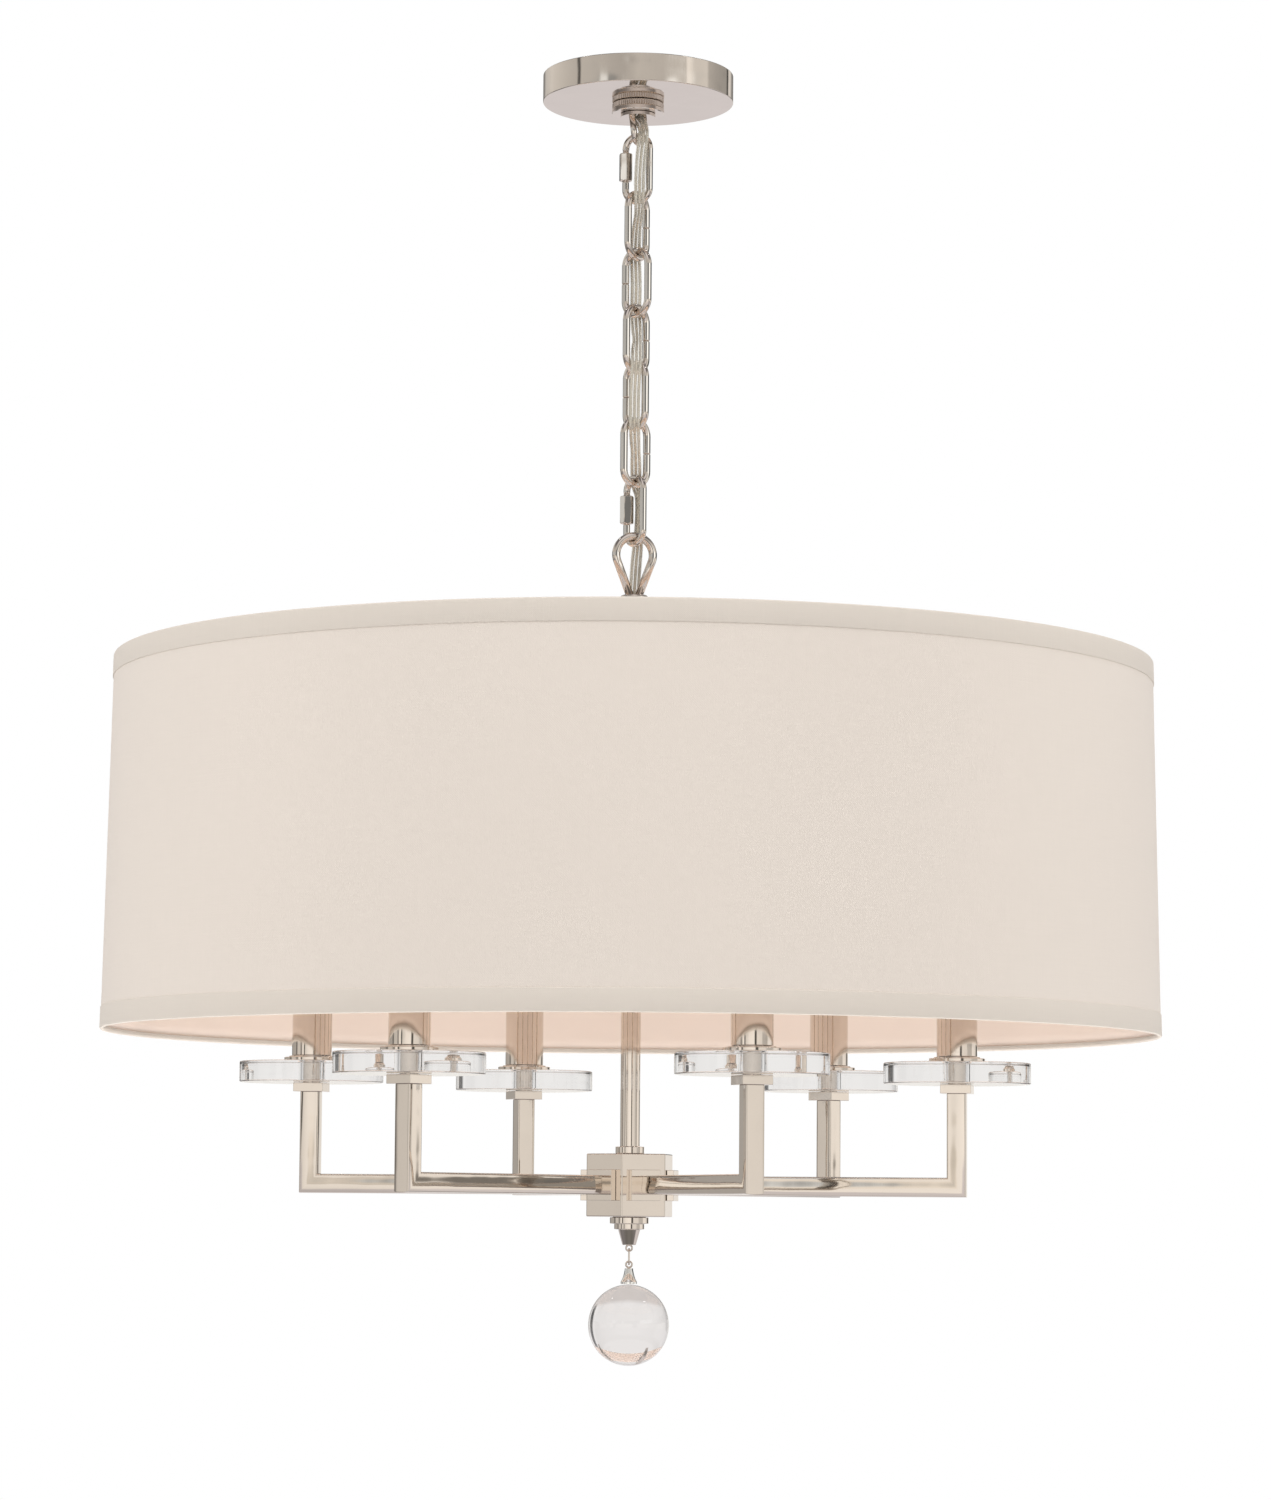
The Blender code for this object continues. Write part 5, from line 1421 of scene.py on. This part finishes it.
# Finial: two turned washers and a cone screwed up into the hub's bore, with a wire eyelet let
# into the cone's tip for the ball.
FINIAL_EDGE = 0.0004
WASHER_RADIUS = 0.014
WASHER_THICKNESS = 0.0046
SMALL_WASHER_RADIUS = 0.01085
SMALL_WASHER_THICKNESS = 0.0040
CONE_TOP_RADIUS = 0.008
CONE_BOTTOM_RADIUS = 0.00485
CONE_HEIGHT = 0.0112
FINE_WIRE = 0.0013
EYELET_RADIUS = 0.00215
EYELET_STEPS = 40


def eyelet(name, top, body, node):
    """A small wire ring, let into the piece above it at its top."""
    path = arc(EYELET_RADIUS, top - EYELET_RADIUS, 0, math.tau, EYELET_STEPS)[:-1]
    piece(wire(name, path, FINE_WIRE / 2, 0, closed=True), body, "finial_nickel", node)


def finial():
    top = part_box("finial")[1].z
    level_1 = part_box("hub_body")[0].z - STEM_GAP
    level_2 = level_1 - WASHER_THICKNESS
    level_3 = level_2 - SMALL_WASHER_THICKNESS
    level_4 = level_3 - CONE_HEIGHT
    plug = HUB_BORE - STEM_GAP
    outline = [
        (0, top), (plug, top), (plug, level_1), (WASHER_RADIUS, level_1), (WASHER_RADIUS, level_2),
        (SMALL_WASHER_RADIUS, level_2), (SMALL_WASHER_RADIUS, level_3), (CONE_TOP_RADIUS, level_3),
        (CONE_BOTTOM_RADIUS, level_4), (0, level_4),
    ]
    piece(turned("finial_cone", outline), "fixture", "finial_nickel", "finial", FINIAL_EDGE, 3)
    eyelet("finial_eyelet", level_4, "fixture", "finial")


finial()

# Hanging ball: clear glass ground and polished all over, cemented into a flared plated cap. A
# loose oval of thin wire links the cap's eyelet to the finial's.
LINK_HALF_WIDTH = 0.00235
CAP_HEIGHT = 0.0112
CAP_RIM = 0.0015
CAP_CHROME = (0.850, 0.856, 0.837)
BALL_RADIUS = 0.029
BALL_SIDES = 128
BALL_TINT = (0.965, 0.945, 0.940)
LINK_BEND_STEPS = 24
BALL_CAP_EDGE = 0.0002
BALL_CAP_SIDES = 72
# The cap's outline as shares of its rim's radius and of its height above the rim
CAP_FLARE_SHARES = [(1.0, 0.0), (0.83, 0.17), (0.70, 0.38), (0.60, 0.62), (0.53, 0.84), (0.49, 1.0)]


def ball_link():
    low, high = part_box("ball_link")
    half_wire = FINE_WIRE / 2
    reach = half_wire + LINK_HALF_WIDTH
    path = arc(LINK_HALF_WIDTH, high.z - reach, 0, math.pi, LINK_BEND_STEPS)
    path += arc(LINK_HALF_WIDTH, low.z + reach, math.pi, math.tau, LINK_BEND_STEPS)
    link = wire("ball_link_wire", path, half_wire, math.pi / 2, closed=True)
    piece(link, "ball_link", "finial_nickel", "ball_link")


def ball():
    low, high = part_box("ball_cap")
    outline = [(0, low.z), (high.x, low.z)]
    for radius_share, height_share in CAP_FLARE_SHARES:
        height = low.z + CAP_RIM + (CAP_HEIGHT - CAP_RIM) * height_share
        outline.append((high.x * radius_share, height))
    cap = turned("ball_cap_flare", outline + [(0, low.z + CAP_HEIGHT)], BALL_CAP_SIDES)
    chrome = metal("bright_chrome", CAP_CHROME, NICKEL_ROUGHNESS)
    piece(cap, "ball", "finial_nickel", "ball_cap", BALL_CAP_EDGE, 2, chrome)
    eyelet("ball_eyelet", high.z, "ball", "ball_cap")
    ball_low, ball_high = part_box("glass_ball")
    centre = (ball_low.z + ball_high.z) / 2
    angles = [math.tau * k / BALL_SIDES for k in range(1, BALL_SIDES // 2)]
    outline = [(0, centre + BALL_RADIUS)]
    outline += [(BALL_RADIUS * math.sin(a), centre + BALL_RADIUS * math.cos(a)) for a in angles]
    sphere = turned("clear_ball", outline + [(0, centre - BALL_RADIUS)], BALL_SIDES)
    piece(sphere, "ball", "ball_glass", "glass_ball", material=clear_glass("ball_glass", BALL_TINT))


ball_link()
ball()
